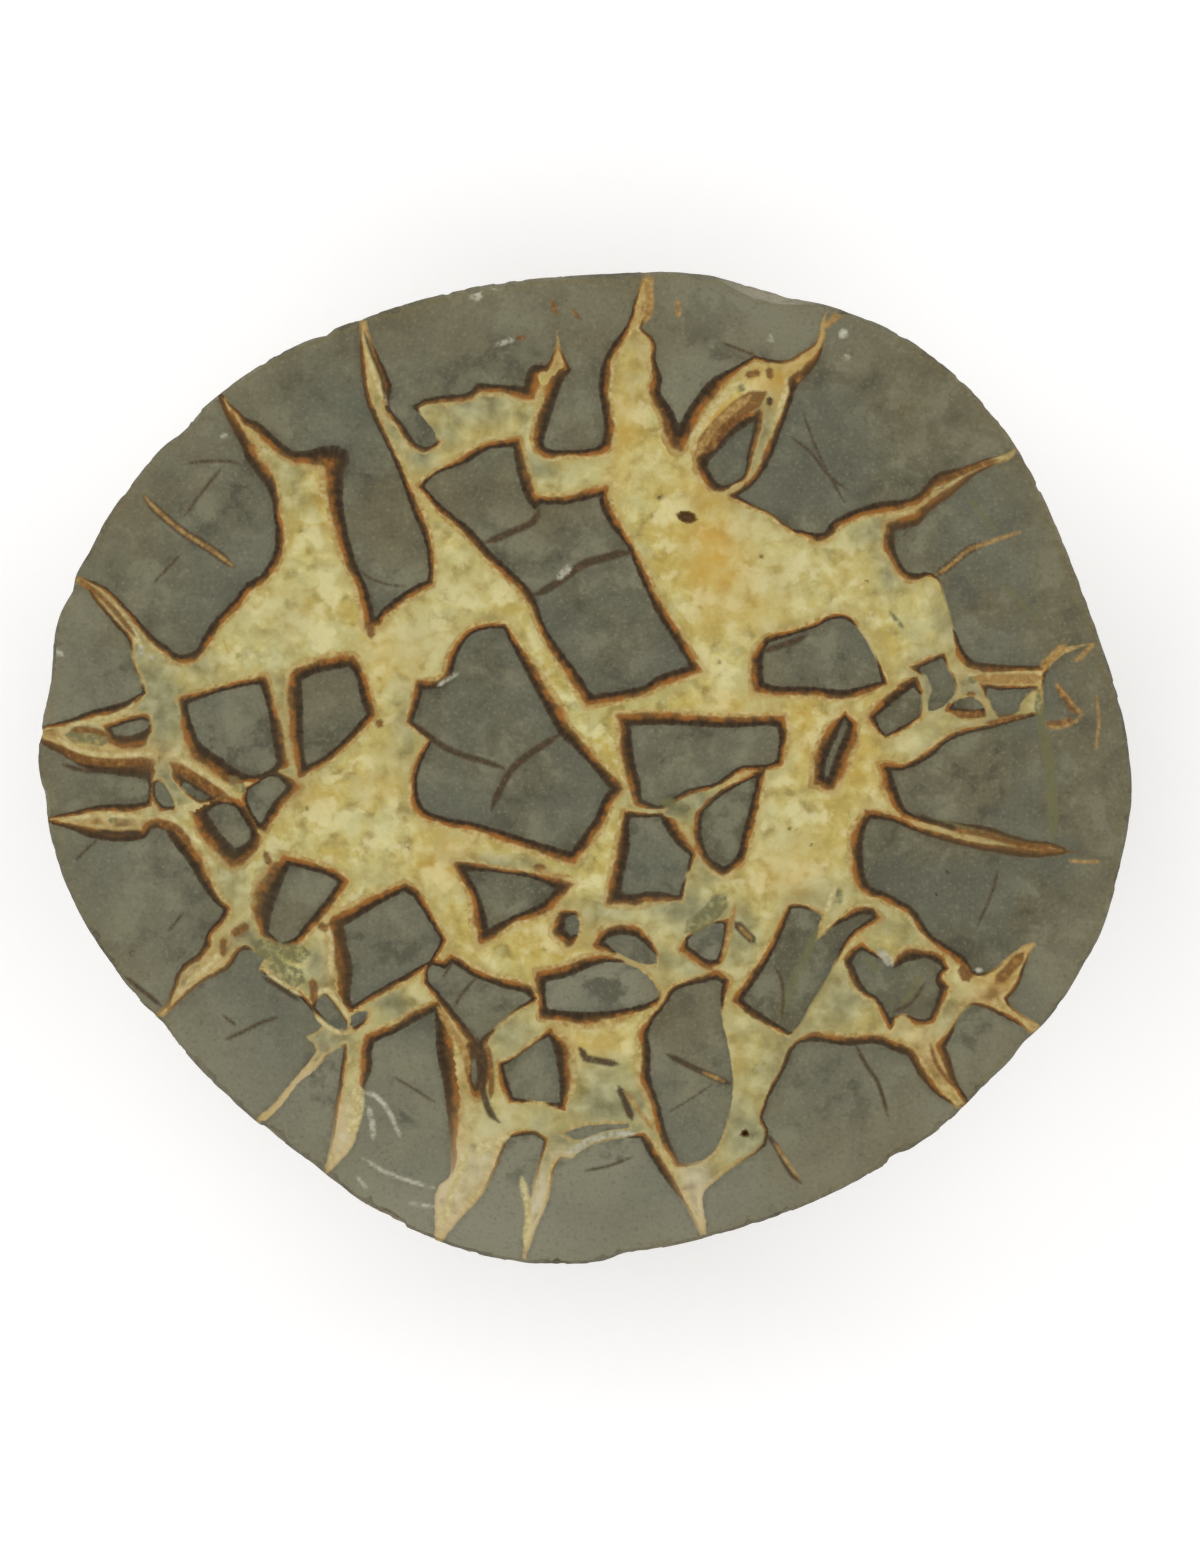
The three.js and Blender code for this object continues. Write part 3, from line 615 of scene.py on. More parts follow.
rust_lines = [
    (0.5, [(-3.6, 51.6), (-3.2, 49.8)]),
    (0.4, [(-1.4, 50.4), (-0.6, 49.4)]),
    (0.5, [(-7.6, 47.2), (-6.6, 47.4)]),
    (0.7, [(-11, -30.2), (-10.5, -32), (-10.3, -34.5), (-10.4, -36.4)]),
    (0.5, [(-12.8, -30.6), (-13, -32.6), (-12.7, -34.8)]),
    (1.0, [(-38.9, -18.3), (-37, -17.3)]),
    (0.8, [(-39.8, -18.7), (-39.8, -20.7)]),
    (0.9, [(-57.5, 1.9), (-55, 0.9), (-51, 0.6), (-47.6, 0.9)]),
    (1.1, [(-45.6, 0.5), (-42.5, -1.4), (-40.4, -2.8), (-38.9, -3.7)]),
    (0.8, [(-46.8, -6.2), (-45, -6.6), (-43.4, -8.4)]),
    (0.9, [(-30, -23.2), (-29.8, -24.6), (-29.9, -25.8)]),
    (0.9, [(-29.3, -17.2), (-28.3, -17.8)]),
    (0.8, [(-35.2, -9.2), (-34.7, -10.6)]),
    (0.8, [(40.6, 6), (42.2, 5.8), (43.7, 6.1)]),
    (0.5, [(44, 4.9), (48.6, 5.8)]),
    (0.8, [(17.7, 43.2), (19.2, 43.5)]),
    (0.8, [(20.4, 42.8), (20.2, 44)]),
    (0.7, [(23.3, 42.4), (23.8, 43.4)]),
    (0.7, [(52, 9), (52.6, 8), (54, 6)]),
    (0.7, [(50.7, 4.8), (52.2, 4.9), (53.6, 5.3)]),
    (0.6, [(-56, 21), (-52.5, 18.2), (-49.4, 14.4)]),
    (0.9, [(-22.9, 5.2), (-22.3, 4.6)]),
    (0.9, [(-23.6, 15.6), (-23.5, 14.3)]),
    (0.8, [(-5.6, -10.9), (-4.4, -11)]),
    (2.1, [(12.6, 34.6), (14.6, 37.2), (17.4, 39.8), (19.8, 41.2)]),
    (0.6, [(42, 8.1), (42.9, 8.2)]),
    (1.3, [(41.4, -21.8), (42.2, -23.4)]),
    (0.7, [(38.6, 31), (42, 32.7), (45.4, 33.9)]),
    (0.7, [(-56.5, 4.2), (-54, 4.1), (-52.6, 3.6)]),
    (1.2, [(48.2, -20.4), (46.6, -22.2), (45.2, -23.6)]),
    (0.6, [(39.5, -6.6), (44, -7.4), (48, -8.5), (52, -9.1)]),
    (0.5, [(38, -30.4), (38.6, -32.4), (40.4, -35)]),
]
cream_lines = [
    (0.5, [(-57, 4.7), (-55, 5), (-52.5, 5.5), (-50.2, 6.5), (-49.6, 7.2)]),
    (0.5, [(-58, 3.3), (-56.5, 2.3), (-55, 1.7), (-52, 1.4), (-47, 1.6)]),
    (0.45, [(-57.5, -5.8), (-53, -5.2), (-47.5, -5.5)]),
    (0.6, [(-45, -4.6), (-42.5, -4)]),
    (0.6, [(-47, -5.2), (-45.5, -5.6), (-43, -8)]),
    (0.6, [(-45.2, 1.6), (-42, -0.7), (-39.5, -2.3), (-38.3, -3.3)]),
    (0.5, [(-35.2, -22.3), (-33.8, -23.4), (-31.2, -25)]),
    (0.5, [(-30, -25.5), (-29.1, -24.5), (-28.3, -24.5), (-27, -26), (-25.9, -27.8)]),
    (0.5, [(-29.6, -27.3), (-28.2, -28.5), (-26.8, -29.3)]),
    (0.6, [(-28.2, -17.6), (-27.9, -20), (-28, -22.6)]),
    (0.8, [(11.5, 35.5), (13, 38), (15, 40.5), (17, 42.5)]),
    (0.6, [(20.9, 38), (22.3, 42)]),
    (0.4, [(42.5, 10.2), (46, 10.3), (50.2, 10.4)]),
    (0.5, [(26.5, -16), (27.5, -13)]),
    (0.6, [(-53.8, 19.4), (-51, 16.8), (-48.5, 13)]),
    (0.5, [(-24.4, 48), (-23.3, 43.5), (-21.8, 40)]),
    (0.35, [(39.5, 31), (43, 33), (46, 34.3)]),
    (0.6, [(-43.8, -23.6), (-41.4, -21.8), (-39.4, -19.4)]),
    (0.8, [(-7, -45), (-6.2, -49), (-6.6, -52.4)]),
    (0.9, [(-13, -42), (-14.4, -46), (-15.8, -50.5)]),
    (1.3, [(-25, -34.8), (-25, -37.4), (-25.8, -40.4)]),
    (1.2, [(-8.4, -40.6), (-10.4, -41), (-12, -42.4)]),
]
pale_lines = [
    (0.5, [(-24.5, -35.6), (-23.2, -36), (-22.2, -36.9), (-21.5, -37.9), (-20.3, -40.6)]),
    (0.4, [(-24.5, -42.9), (-22, -44.4), (-20, -45.2), (-16.5, -46.2)]),
    (0.35, [(-25, -45), (-24, -46.3)]),
    (0.35, [(-19.5, -47.8), (-18, -48.1), (-16.6, -48.2)]),
    (0.6, [(-23.8, -37.4), (-23.4, -39.1), (-23.3, -40.8)]),
    (0.6, [(20.2, 47.4), (20.7, 47)]),
    (0.7, [(-3, 20.8), (-2.2, 21.6), (-1.6, 22.2)]),
    (0.4, [(-16.2, 9), (-14, 10.5)]),
    (0.9, [(32.2, -19.9), (33, -20.8), (33.8, -21.7)]),
    (0.4, [(-10, 52.9), (-9.3, 52.7)]),
    (1.1, [(28, 47.9), (28.8, 47.6)]),
    (0.7, [(28.6, 45.4), (29, 45)]),
    (1.2, [(-12.6, 52.2), (-11.4, 51.8)]),
    (0.4, [(-40, 36.3), (-39.4, 36.7)]),
    (0.5, [(-9.8, 46.5), (-7.8, 47.2)]),
    (0.6, [(-49, 13.4), (-48.6, 12.4)]),
    (0.4, [(-47.9, 12.4), (-47.5, 11.9)]),
    (0.5, [(-58.2, 12.8), (-57.4, 12.4)]),
    (0.5, [(43, -22.2), (43.7, -22.3)]),
    (0.7, [(-1.8, -42.4), (1.7, -40.5), (5.4, -40.2)]),
]

olive_lines = [
    (0.9, [(25.7, -17.6), (24.6, -20), (23.4, -22.4), (22.2, -25), (21.4, -27.8)]),
    (0.6, [(36.9, -22.8), (36, -24.6), (34.8, -26)]),
    (1.5, [(-57, 3.6), (-54.5, 3.4), (-52.4, 3)]),
    (0.5, [(42, 30), (45.3, 26)]),
    (0.8, [(27.9, -13.3), (28, -15)]),
    (2.2, [(-36.4, -19.4), (-33.8, -20.3), (-30.4, -20.4)]),
    (2.2, [(-34.6, -21.9), (-33, -22.6), (-31, -23.4)]),
    (2.0, [(11.2, -18), (13.6, -16.2), (15.4, -14)]),
    (0.9, [(17, 41.5), (17.4, 42.1)]),
    (0.7, [(-52.4, -5.8), (-51.4, -5.7)]),
    (0.5, [(46, 20), (48, 18.2), (50, 16)]),
    (1.2, [(49.8, 8.6), (50.2, 5), (51, 1), (51.4, -4), (51.5, -8)]),
    (0.5, [(33.5, 17.2), (35, 15.4)]),
    (0.9, [(42.2, 9.9), (43, 9.5)]),
    (0.5, [(38, -5.6), (41, -6.4), (45, -7.6), (49, -8.8)]),
    (1.0, [(-39, -1), (-37.4, -2.6)]),
    (1.2, [(8.4, -3.6), (11.6, -4.6)]),
    (0.9, [(31, -20.8), (31.8, -22), (32.6, -21.6)]),
]

# Soft patches of colour: middle, reach along and across, turn in degrees, strength.
green_patches = [
    (-47, 7, 3.2, 7, 10, 1), (-46.5, -2, 3, 4, 0, 1), (-39, -12, 2.4, 4, 20, 0.7),
    (-37, -19, 3, 2.4, 0, 1), (-33, 5, 1.6, 6, 5, 0.7), (-32.5, 16, 2.4, 3, 0, 0.2),
    (-18, 15, 3, 3, 0, 0.1), (-20, 4, 1.6, 5, 0, 0.5), (-33, -1, 3, 3, 0, 0.6),
    (-42, 11, 3, 2.4, 0, 0.6), (-33, 32, 2.4, 5, 30, 0.5), (-51, 16.6, 5, 0.9, -48, 1),
    (-54, 4, 5, 1.2, 0, 0.6), (-51, -6, 4, 0.8, -4, 0.9), (-43.6, -22.6, 2.4, 0.7, 48, 0.8),
    (-35.4, -13.6, 1.4, 4, -15, 0.8), (-29.4, -22, 1.6, 3.4, 0, 0.8),
    (-28.5, -30.2, 3.4, 2, -20, 1), (-21, -26, 4, 1.8, -30, 0.8), (-9, -29, 4, 3, -35, 0.8),
    (-8, -38.5, 6, 2.6, -12, 0.2), (-5.6, -42.5, 1.6, 4, -8, 0.9), (2, -40.6, 8, 1.8, 4, 1),
    (3, -37, 6, 3, 5, 0.9),
    (1, -33.5, 4, 2, 0, 0.6), (10, -21.3, 4, 1.4, -20, 0.7), (5.5, -21, 4, 1.2, -20, 0.6),
    (2, -16, 4, 2, 0, 0.6), (11, -15.5, 6, 2.6, -8, 0.9), (14, -17.5, 4, 3, 0, 0.7),
    (12.5, -3.6, 3, 1.8, -20, 1), (9, -4.4, 5, 1.2, -20, 0.9), (13, -10, 2, 4, 10, 0.6),
    (-9.5, -10.4, 5, 1, -8, 0.7), (26, -14, 5, 2, 20, 0.5), (34, -17, 6, 2.4, -25, 0.45),
    (28, -26, 3.4, 4.4, -30, 0.8), (24, -30, 3, 3, 0, 0.9), (21, -33, 3.4, 5, 10, 0.6),
    (18, -41, 3.6, 5, 30, 1), (33, -25, 3, 5, 0, 0.4), (24, -23, 1.6, 6, -30, 0.4),
    (46, -8, 7, 1.4, -8, 0.8), (38.5, 9.5, 1.8, 4, 20, 0.9), (43, 9, 3, 2.4, 0, 0.8),
    (44, 4, 7, 2.4, 20, 0.7), (39.5, 15.5, 1.6, 3, 20, 0.5), (33.5, 21.5, 1.6, 3, 0, 0.8),
    (32, 26, 3.4, 1.6, 20, 0.7), (42, 32, 6, 1, 30, 0.7), (19.4, 37, 1.3, 6, -15, 1),
    (-24, 38.6, 5, 3, 0, 0.5), (-14, 44, 3.5, 2, 0, 0.5), (-21, 37, 2.5, 3, 0, 0.6),
    (-12, 39.5, 6, 2.4, 0, 0.8), (-18, 34.2, 1.6, 1.6, 0, 1), (-5, 32.8, 3, 1.4, -20, 0.9),
    (-7, 45.5, 1.4, 3, 0, 0.6), (17, 32.4, 2.4, 1, 40, 0.9), (-15.5, 37, 3, 2, 0, 0.6),
    (13, -44, 1.6, 3, 15, 0.5), (5, 42, 1.4, 4, 0, 0.35), (-45, 3, 2, 3, 0, 0.6),
    (-49.4, 12.4, 2, 2, 0, 0.8), (40, -27, 3, 2, 0, 0.7), (17, -18, 2, 4, 0, 0.8),
]
pink_patches = [
    (-15, -46.5, 2.6, 6, -8, 1), (-6, -48.5, 2, 5, -8, 1), (-26.5, -40.5, 2, 5, -8, 0.8),
    (-12, -44, 2.6, 4, -30, 0.7), (12.6, -47, 2, 4.6, 15, 1), (-31.5, -35, 5, 1.4, 45, 0.8),
    (-43, -25, 4, 2, 40, 0.35), (-2, -42.6, 3, 1, 0, 0.6),
]
honey_patches = [
    (14, 23.5, 3.4, 5.5, 15, 1.0), (13, 31, 3, 5, 0, 0.55), (4.2, 38, 1.8, 9, -6, 0.55),
    (15.5, 18.5, 4, 3, 0, 0.6), (17, 7, 5, 1.6, 0, 0.5), (24, 4, 2, 5, 0, 0.45),
    (-15, -10, 3.4, 4, 0, 0.6), (1, -30.5, 3.4, 1.8, 0, 0.7), (22, -12, 4.4, 2.6, 0, 0.5),
    (-24, -2, 3, 2, 0, 0.4), (50, 11.6, 4, 1.4, 30, 0.6), (24.6, 45, 2, 4, -30, 0.8),
    (45, -23, 3, 2, -20, 0.7), (-28, 28, 1.6, 5, 10, 0.5), (-22.5, 12, 3.6, 3.6, 0, 0.4),
    (-5.5, -17.5, 6, 2.5, -20, 0.3), (30.5, 1, 3, 6, 20, 0.4), (-30, -3, 4, 2, 0, 0.3),
    (15, 38, 3, 4, 40, 0.9), (21, 42.4, 3, 3, 0, 0.8), (25, 29, 2, 2, 0, 0.3),
]
tan_patches = [
    (45, -25, 5, 2, 30, 0.9), (38.4, -32.5, 2, 5, 30, 0.9), (-42, -22.5, 5, 2, 45, 0.8),
    (-52, 2, 8, 1.6, -8, 0.8), (-53, -6, 6, 1, -5, 0.9), (46, 10.2, 6, 1.2, 0, 0.7),
    (-27.4, -21, 1.4, 6, 0, 0.6), (40, 30, 6, 2, 35, 0.9), (23.5, 46, 3, 3, 40, 0.8),
    (-39.5, 39.5, 1.6, 3.4, 38, 0.9), (-24.5, 46, 1.6, 6, 4, 0.9), (45, -8.2, 8, 1.4, -8, 0.8),
    (-13, -33, 2, 7, -8, 0.45), (7, 50, 1.6, 5, 0, 0.9), (-54.5, 19.4, 4, 1.4, -45, 0.9),
    (-3, 45.5, 1.4, 2.4, 0, 0.8), (51.5, 12.2, 3, 1.4, 40, 0.9), (51, -9, 3.4, 1.2, -6, 0.9),
    (-58, 3, 3.4, 1.6, -30, 0.9), (49, -20, 2, 2, 0, 0.95), (48.4, -27.6, 3, 1.4, -35, 0.95),
    (-33, -36, 6, 1.2, 48, 0.5), (-46.4, -26.4, 3, 2, 40, 0.9),
]
pale_patches = [
    (-33, 17, 3, 4, 0, 0.85),
    (-13, 20, 3.4, 3, 0, 0.9), (18, 26, 3, 3, 0, 0.9), (-47, 7, 2, 5, 10, 0.4),
    (-10, -39, 4, 2, -10, 0.9), (-25.6, -37, 1.6, 3.4, 0, 0.9), (-22, -11, 3, 2, 0, 0.5),
    (-22, 0, 2, 5, 0, 0.5), (44.8, -24.4, 1.6, 1.4, 0, 0.8), (38.6, -32.5, 1.4, 3, 30, 0.5),
    (-29, 20, 3, 4, 0, 0.45), (-24, -6.5, 5, 2.4, 0, 0.4), (21.6, 21, 6, 4, 20, 0.8),
    (8, 47, 2, 3, 0, 0.5), (-11, -38, 4, 3, -30, 0.5), (12, -44.5, 2, 1.6, 0, 0.6),
    (-46, -26, 3, 2, 40, 0.4),
    (20, 19, 8, 4, 10, 0.45), (30, 21, 5, 4, -20, 0.4), (-16.5, 24, 3.4, 4.5, 30, 0.2),
    (-32, 18, 4.5, 3, 0, 0.2), (-18, 14, 5, 4.6, 0, 0.85), (-20, -6, 4, 4, 0, 0.25),
    (22, -8, 4, 6, 10, 0.7), (7, 33, 4, 3, 0, 0.4), (-32, -3.5, 5, 3, -30, 0.3),
    (38, 15, 3, 5, 20, 0.35), (12, -22, 5, 1.6, 10, 0.55), (9, -17, 6, 2, 0, 0.4),
    (-38, -14.5, 1.6, 3, 10, 0.7), (-3, -31, 3, 3, 0, 0.2), (-12, 39, 4, 2.4, 0, 0.3),
]
# Each block's own tone, from 0 for dark to 1 for pale, where it is unlike the rest.
usual_tone = 0.28
tones = {
    "west": 0.45, "north_left": 0.38, "north_right": 0.8, "south": 1, "south_sliver": 0.95,
    "south_south_west": 0.72, "south_west_sliver": 0.85, "south_west": 0.36,
    "west_south_west": 0.34, "west_large": 0.52, "west_strip": 0.05, "west_wedge": 0,
    "west_pebble": 0.1, "west_kite": 0.7, "great_north": 0.22, "great_middle": 0.22,
    "middle_right": 0.34, "middle_curved": 0, "middle_lower": 0.6, "leaf": 0,
    "south_west_fan": 0.4, "south_west_square": 0.46, "south_west_crumb": 0.7,
    "south_west_slab": 0.6, "south_wedge": 0.55, "south_middle": 0.42, "south_slab": 0.95,
    "south_crescent": 0.48, "south_nut": 0.95, "south_long": 0.48, "south_south_east": 0.4,
    "south_east": 0.7, "south_east_tooth": 0.7, "south_east_boot": 0, "south_east_ring": 0.14,
    "east_south_east": 0.12, "east_chip": 0, "east_shard": 0.02, "east_bar": 0.1,
    "north_east": 0.2, "grey_sliver": 0.72,
}
# Where the limestone is browner.
warm_patches = [
    (46, 20, 9, 14, -20, 1), (-3, 53.5, 16, 3, 0, 0.9), (50, 6, 16, 30, 0, 0.8),
    (28, 40, 16, 10, -30, 0.4), (2, 45, 12, 8, 0, 0.5),
]
# Where the limestone is paler, in soft veils.
haze_patches = [
    (38.5, -38, 4, 5, 0, 0.45),
    (-40, -34, 18, 8, -42, 0.5), (-14, -50, 22, 6, -10, 0.9), (2, -46.5, 10, 5, 0, 0.35),
    (14, -48, 14, 6, 15, 0.55),
    (-56, 8, 4, 14, 0, 0.4), (-45, 36, 12, 4, 45, 0.2), (30, -41, 12, 6, 30, 0.25),
    (20, 50, 12, 4, -12, 0.4), (-3, 51, 10, 5, 0, 0.2), (-50, -15, 8, 12, -25, 0.2),
    (54, -22, 5, 10, -25, 0.2),
]
# Small dark holes in the polish: middle and radius.
pits = [
    (8.2, 29.8, 0.35), (19.4, 23.2, 0.32), (14.8, 11.6, 0.28), (22.5, -6.7, 0.3),
    (25, -8.5, 0.26), (39.8, -11.5, 0.3), (-49.8, -20.4, 0.3), (38.7, -13.9, 0.25),
    (-30.5, -4.5, 0.3), (-19.5, -8.8, 0.3), (17.6, -40.2, 0.3), (31, 20.6, 0.25),
]
line_taper = 6  # how quickly a line reaches its full width from its ends
blunt_end = 0.25  # share of the width at its very ends
line_softness = 0.13  # mm that its edge fades to each side


def line_mask(lines, places):
    """1 on the lines and 0 off them, softly, with each line thinning out towards its ends."""
    mask = np.zeros(len(places))
    for width, points in lines:
        line = rounded(points, False)
        margin = width + line_softness
        low, high = line.min(0) - margin, line.max(0) + margin
        near = np.nonzero(((places > low) & (places < high)).all(1))[0]
        if len(near):
            distance, position, _ = nearest_on(line, places[near], False)
            share = position / position.max()
            taper = np.minimum(1, blunt_end + line_taper * np.minimum(share, 1 - share))
            edge = (width / 2 * taper + line_softness - distance) / (2 * line_softness)
            mask[near] = np.maximum(mask[near], np.clip(edge, 0, 1))
    return mask


def patch_mask(patches, places):
    """How strongly each place is tinted by soft oval patches."""
    mask = np.zeros(len(places))
    for x, y, reach_along, reach_across, turn, strength in patches:
        cos, sin = math.cos(math.radians(turn)), math.sin(math.radians(turn))
        dx, dy = places[:, 0] - x, places[:, 1] - y
        u = (dx * cos + dy * sin) / reach_along
        v = (dy * cos - dx * sin) / reach_across
        mask = np.maximum(mask, strength * np.exp(-(u * u + v * v)))
    return mask


def gold_widths(places):
    """Width of the lining's gold part at each place."""
    total = np.full(len(places), usual_weight)
    gold = total * usual_gold
    for x, y, reach, width in gold_spots:
        away = ((places - (x, y)) ** 2).sum(1) / reach**2
        weight = np.exp(-spot_edge * away * away)
        total += weight
        gold += weight * width
    return gold / total


# ------------------------------------------------------------------ the stone's body
# One piece of stone. The rind is the concretion's own skin, lumpy, pitted and crazed; the saw left
# a flat cut, whose edge was ground to a small bevel and has chipped a little since.

mm = 0.001
nodule_node = frame["nodes"]["nodule"]
face_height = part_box("nodule")[1].z / mm
rest_spot = next(m for m in frame["record"]["mounts"] if m["name"] == "resting_flat")["pos_m"]
middle = np.array([rest_spot[0] / mm, rest_spot[1] / mm, face_height])

node_points = [vertex.co / mm for vertex in nodule_node.data.vertices]
node_faces = [tuple(face.vertices) for face in nodule_node.data.polygons]
solid = BVHTree.FromPolygons(node_points, node_faces)

columns = 600  # round the rim
first_step = 0.13  # mm between the uppermost rings, for the bevel
step_growth = 1.22
full_step = 1.1
halve_at = (0.62, 0.3)  # share of the rim's radius at which every second column ends


def smoothstep(low, high, value):
    t = np.clip((value - low) / (high - low), 0, 1)
    return t * t * (3 - 2 * t)


def drawn(x, y, z, reach, octaves, seed):
    """Uneven noise from about -1 to 1 at each place."""
    offset = Vector((seed * 17.3, seed * 5.1, -seed * 9.7))
    return np.array([
        noise.fractal(Vector((a, b, c)) / reach + offset, 0.7, 2.1, octaves)
        for a, b, c in zip(x, y, z)
    ])


# Rays towards the middle of the cut meet the solid's skin, which gives the rind ring by ring.
turns = np.arange(columns) / columns * 2 * math.pi
rough_radius = 52.0  # mm from the middle of the cut to the rind
angles = [0.00002]
step = first_step
while angles[-1] < math.pi / 2 - full_step / face_height:
    angles.append(angles[-1] + step / rough_radius)
    step = min(step * step_growth, full_step)
angles = np.array(angles)
rings = len(angles)

ray_drop = 0.0005  # mm below the cut, so that the uppermost rays still meet the solid
outside = 100.0  # mm from the middle, where the rays start inwards
origin = Vector((middle[0], middle[1], face_height - ray_drop))
reach = np.empty((rings, columns))
for ring, angle in enumerate(angles):
    for column, turn in enumerate(turns):
        spoke = Vector((math.cos(turn) * math.cos(angle), math.sin(turn) * math.cos(angle),
                        -math.sin(angle)))
        reach[ring, column] = outside - solid.ray_cast(origin + spoke * outside, -spoke)[3]

# The solid's flat facets are evened out below the bevel, and a little along the rim.
deep = smoothstep(2, 8, np.arange(rings))[:, None]
deep_passes, rim_passes = 5, 2
for _ in range(deep_passes):
    around = (np.roll(reach, 1, 1) + np.roll(reach, -1, 1)) / 2
    padded = np.vstack([reach[:1], reach, reach[-1:]])
    above_below = (padded[:-2] + padded[2:]) / 2
    reach = reach * (1 - 0.5 * deep) + (around + above_below) / 2 * 0.5 * deep
for _ in range(rim_passes):
    around = (np.roll(reach, 1, 1) + np.roll(reach, -1, 1)) / 2
    reach = reach * 0.6 + around * 0.4

cos_angle, sin_angle = np.cos(angles)[:, None], np.sin(angles)[:, None]
ray_x = np.cos(turns)[None] * cos_angle
ray_y = np.sin(turns)[None] * cos_angle
ray_z = -np.repeat(sin_angle, columns, 1)
rind_x = middle[0] + ray_x * reach
rind_y = middle[1] + ray_y * reach
rind_z = face_height + ray_z * reach

# Crazing: the rind parts into plates, whose middles lie in three uneven rings.
draw = np.random.default_rng(11)
half_width, half_length = 57, 52  # mm, of the oval that the plates' middles lie on
plate_rings = ((17, 12, 0.99, 0.1), (12, 28, 0.84, 0.4), (7, 40, 0.5, 0.2))
plate_middles = []
for count, depth, out, shift in plate_rings:
    for k in range(count):
        turn = (k + shift + draw.uniform(-0.28, 0.28)) / count * 2 * math.pi
        plate_middles.append((
            middle[0] + half_width * out * math.cos(turn),
            middle[1] + half_length * out * math.sin(turn),
            face_height - depth + draw.uniform(-4, 4),
        ))
plate_middles.append((4, 3, 0))

flat_x, flat_y, flat_z = rind_x.ravel(), rind_y.ravel(), rind_z.ravel()
coarse = drawn(flat_x, flat_y, flat_z, 9, 4, 1)
wander = drawn(flat_x, flat_y, flat_z, 5, 3, 2)
wander_two = drawn(flat_x, flat_y, flat_z, 5, 3, 3)
grit = drawn(flat_x, flat_y, flat_z, 1.7, 3, 4)
crack_sway = np.stack([2.6 * wander, 2.6 * wander_two, 2 * wander], 1)  # mm
sites = np.stack([flat_x, flat_y, flat_z], 1) + crack_sway
to_plates = np.sort(
    np.linalg.norm(sites[:, None, :] - np.array(plate_middles)[None], axis=2), axis=1
)
craze = (to_plates[:, 1] - to_plates[:, 0]) / 2  # distance from a crack, mm
craze = np.minimum(craze, 6) + 0.9 * smoothstep(-0.1, 0.5, coarse)  # some cracks fade out

depth_below = face_height - flat_z
groove_depth, groove_width = 0.5, 0.75  # mm; the width is from its middle
groove = groove_depth * np.exp(-(craze / groove_width) ** 2) * smoothstep(1.5, 9, depth_below)
hollow = 0.45 * smoothstep(0.1, 0.75, coarse) + 0.3 * smoothstep(0.05, 0.6, grit)
nick = 0.42 * smoothstep(0.34, 0.75, wander) * (1 - smoothstep(0.6, 4, depth_below))
splinters = drawn(flat_x, flat_y, flat_z, 1.3, 2, 5)
nick += 0.4 * smoothstep(0.2, 0.5, splinters) * (1 - smoothstep(0.3, 1.6, depth_below))
ground = 0.06 * smoothstep(0, 0.6, grit)
fade = smoothstep(0.3, 6, depth_below) * smoothstep(0.0, 2.5, flat_z)
sunk = (groove + hollow) * fade + nick + ground * (flat_z > 0.2)
sunk = sunk.reshape(rings, columns)
reach_now = reach - sunk
rind_x = middle[0] + ray_x * reach_now
rind_y = middle[1] + ray_y * reach_now
rind_z = np.maximum(face_height + ray_z * reach_now, 0)
rind_z[0] = face_height

# The polished cut: a close net of triangles near the walls and lines, a wider one between.
rim_line = np.stack([rind_x[0], rind_y[0]], 1)
net_fine = 0.19  # mm between the points of the finest net
net_reach = 64  # mm each way from the middle, before the net is cut to size
net_half_width, net_half_length = 62, 58  # mm
line_margin = 0.3  # mm of fine net beside a line
vug = (11.2, 27.6, 1.3)  # middle and radius of the solid's own hole
rim_gap = 0.22  # mm that the net keeps off the rim
fine_lines = dark_lines + gold_lines + rust_lines + cream_lines + pale_lines + olive_lines


def net_points(stride):
    """Points of a triangular net, mm, and their two whole-number places in the finest net."""
    rows = int(net_reach / (net_fine * math.sqrt(3) / 2 * stride)) + 1
    columns_needed = int(net_reach / (net_fine * stride)) + rows
    a, b = np.meshgrid(
        np.arange(-columns_needed, columns_needed + 1), np.arange(-rows, rows + 1)
    )
    a, b = a.ravel() * stride, b.ravel() * stride
    x = (a + b / 2) * net_fine
    y = b * net_fine * math.sqrt(3) / 2
    near = (abs(x) < net_half_width) & (abs(y) < net_half_length)
    return np.stack([x[near], y[near]], 1), np.stack([a[near], b[near]], 1)


def on_net(steps, stride):
    return (steps % stride == 0).all(1)


places, steps = net_points(2)
inside = is_inside(rim_line[::2], places)
places, steps = places[inside], steps[inside]
wall = measure_walls(places)[0]
close = (wall > -0.3) & (wall < 1.95)
keep = close | (on_net(steps, 4) & (wall > -3) & (wall < 3.6)) | on_net(steps, 8)
kept_places = [places[keep]]

finest, finest_steps = net_points(1)
finest = finest[~on_net(finest_steps, 2)]
near_line = np.zeros(len(finest), bool)
for width, points in fine_lines:
    line = rounded(points, False)
    margin = width / 2 + line_margin
    low, high = line.min(0) - margin, line.max(0) + margin
    box_near = np.nonzero(((finest > low) & (finest < high)).all(1))[0]
    if len(box_near):
        near_line[box_near] |= nearest_on(line, finest[box_near], False)[0] < margin
for x, y, radius in pits + [vug]:
    near_line |= ((finest - (x, y)) ** 2).sum(1) < (radius + line_margin) ** 2
kept_places.append(finest[near_line])
face_places = np.concatenate(kept_places)
gap_to_rim = nearest_on(rim_line, face_places, True)[0]
face_places = face_places[is_inside(rim_line, face_places) & (gap_to_rim > rim_gap)]

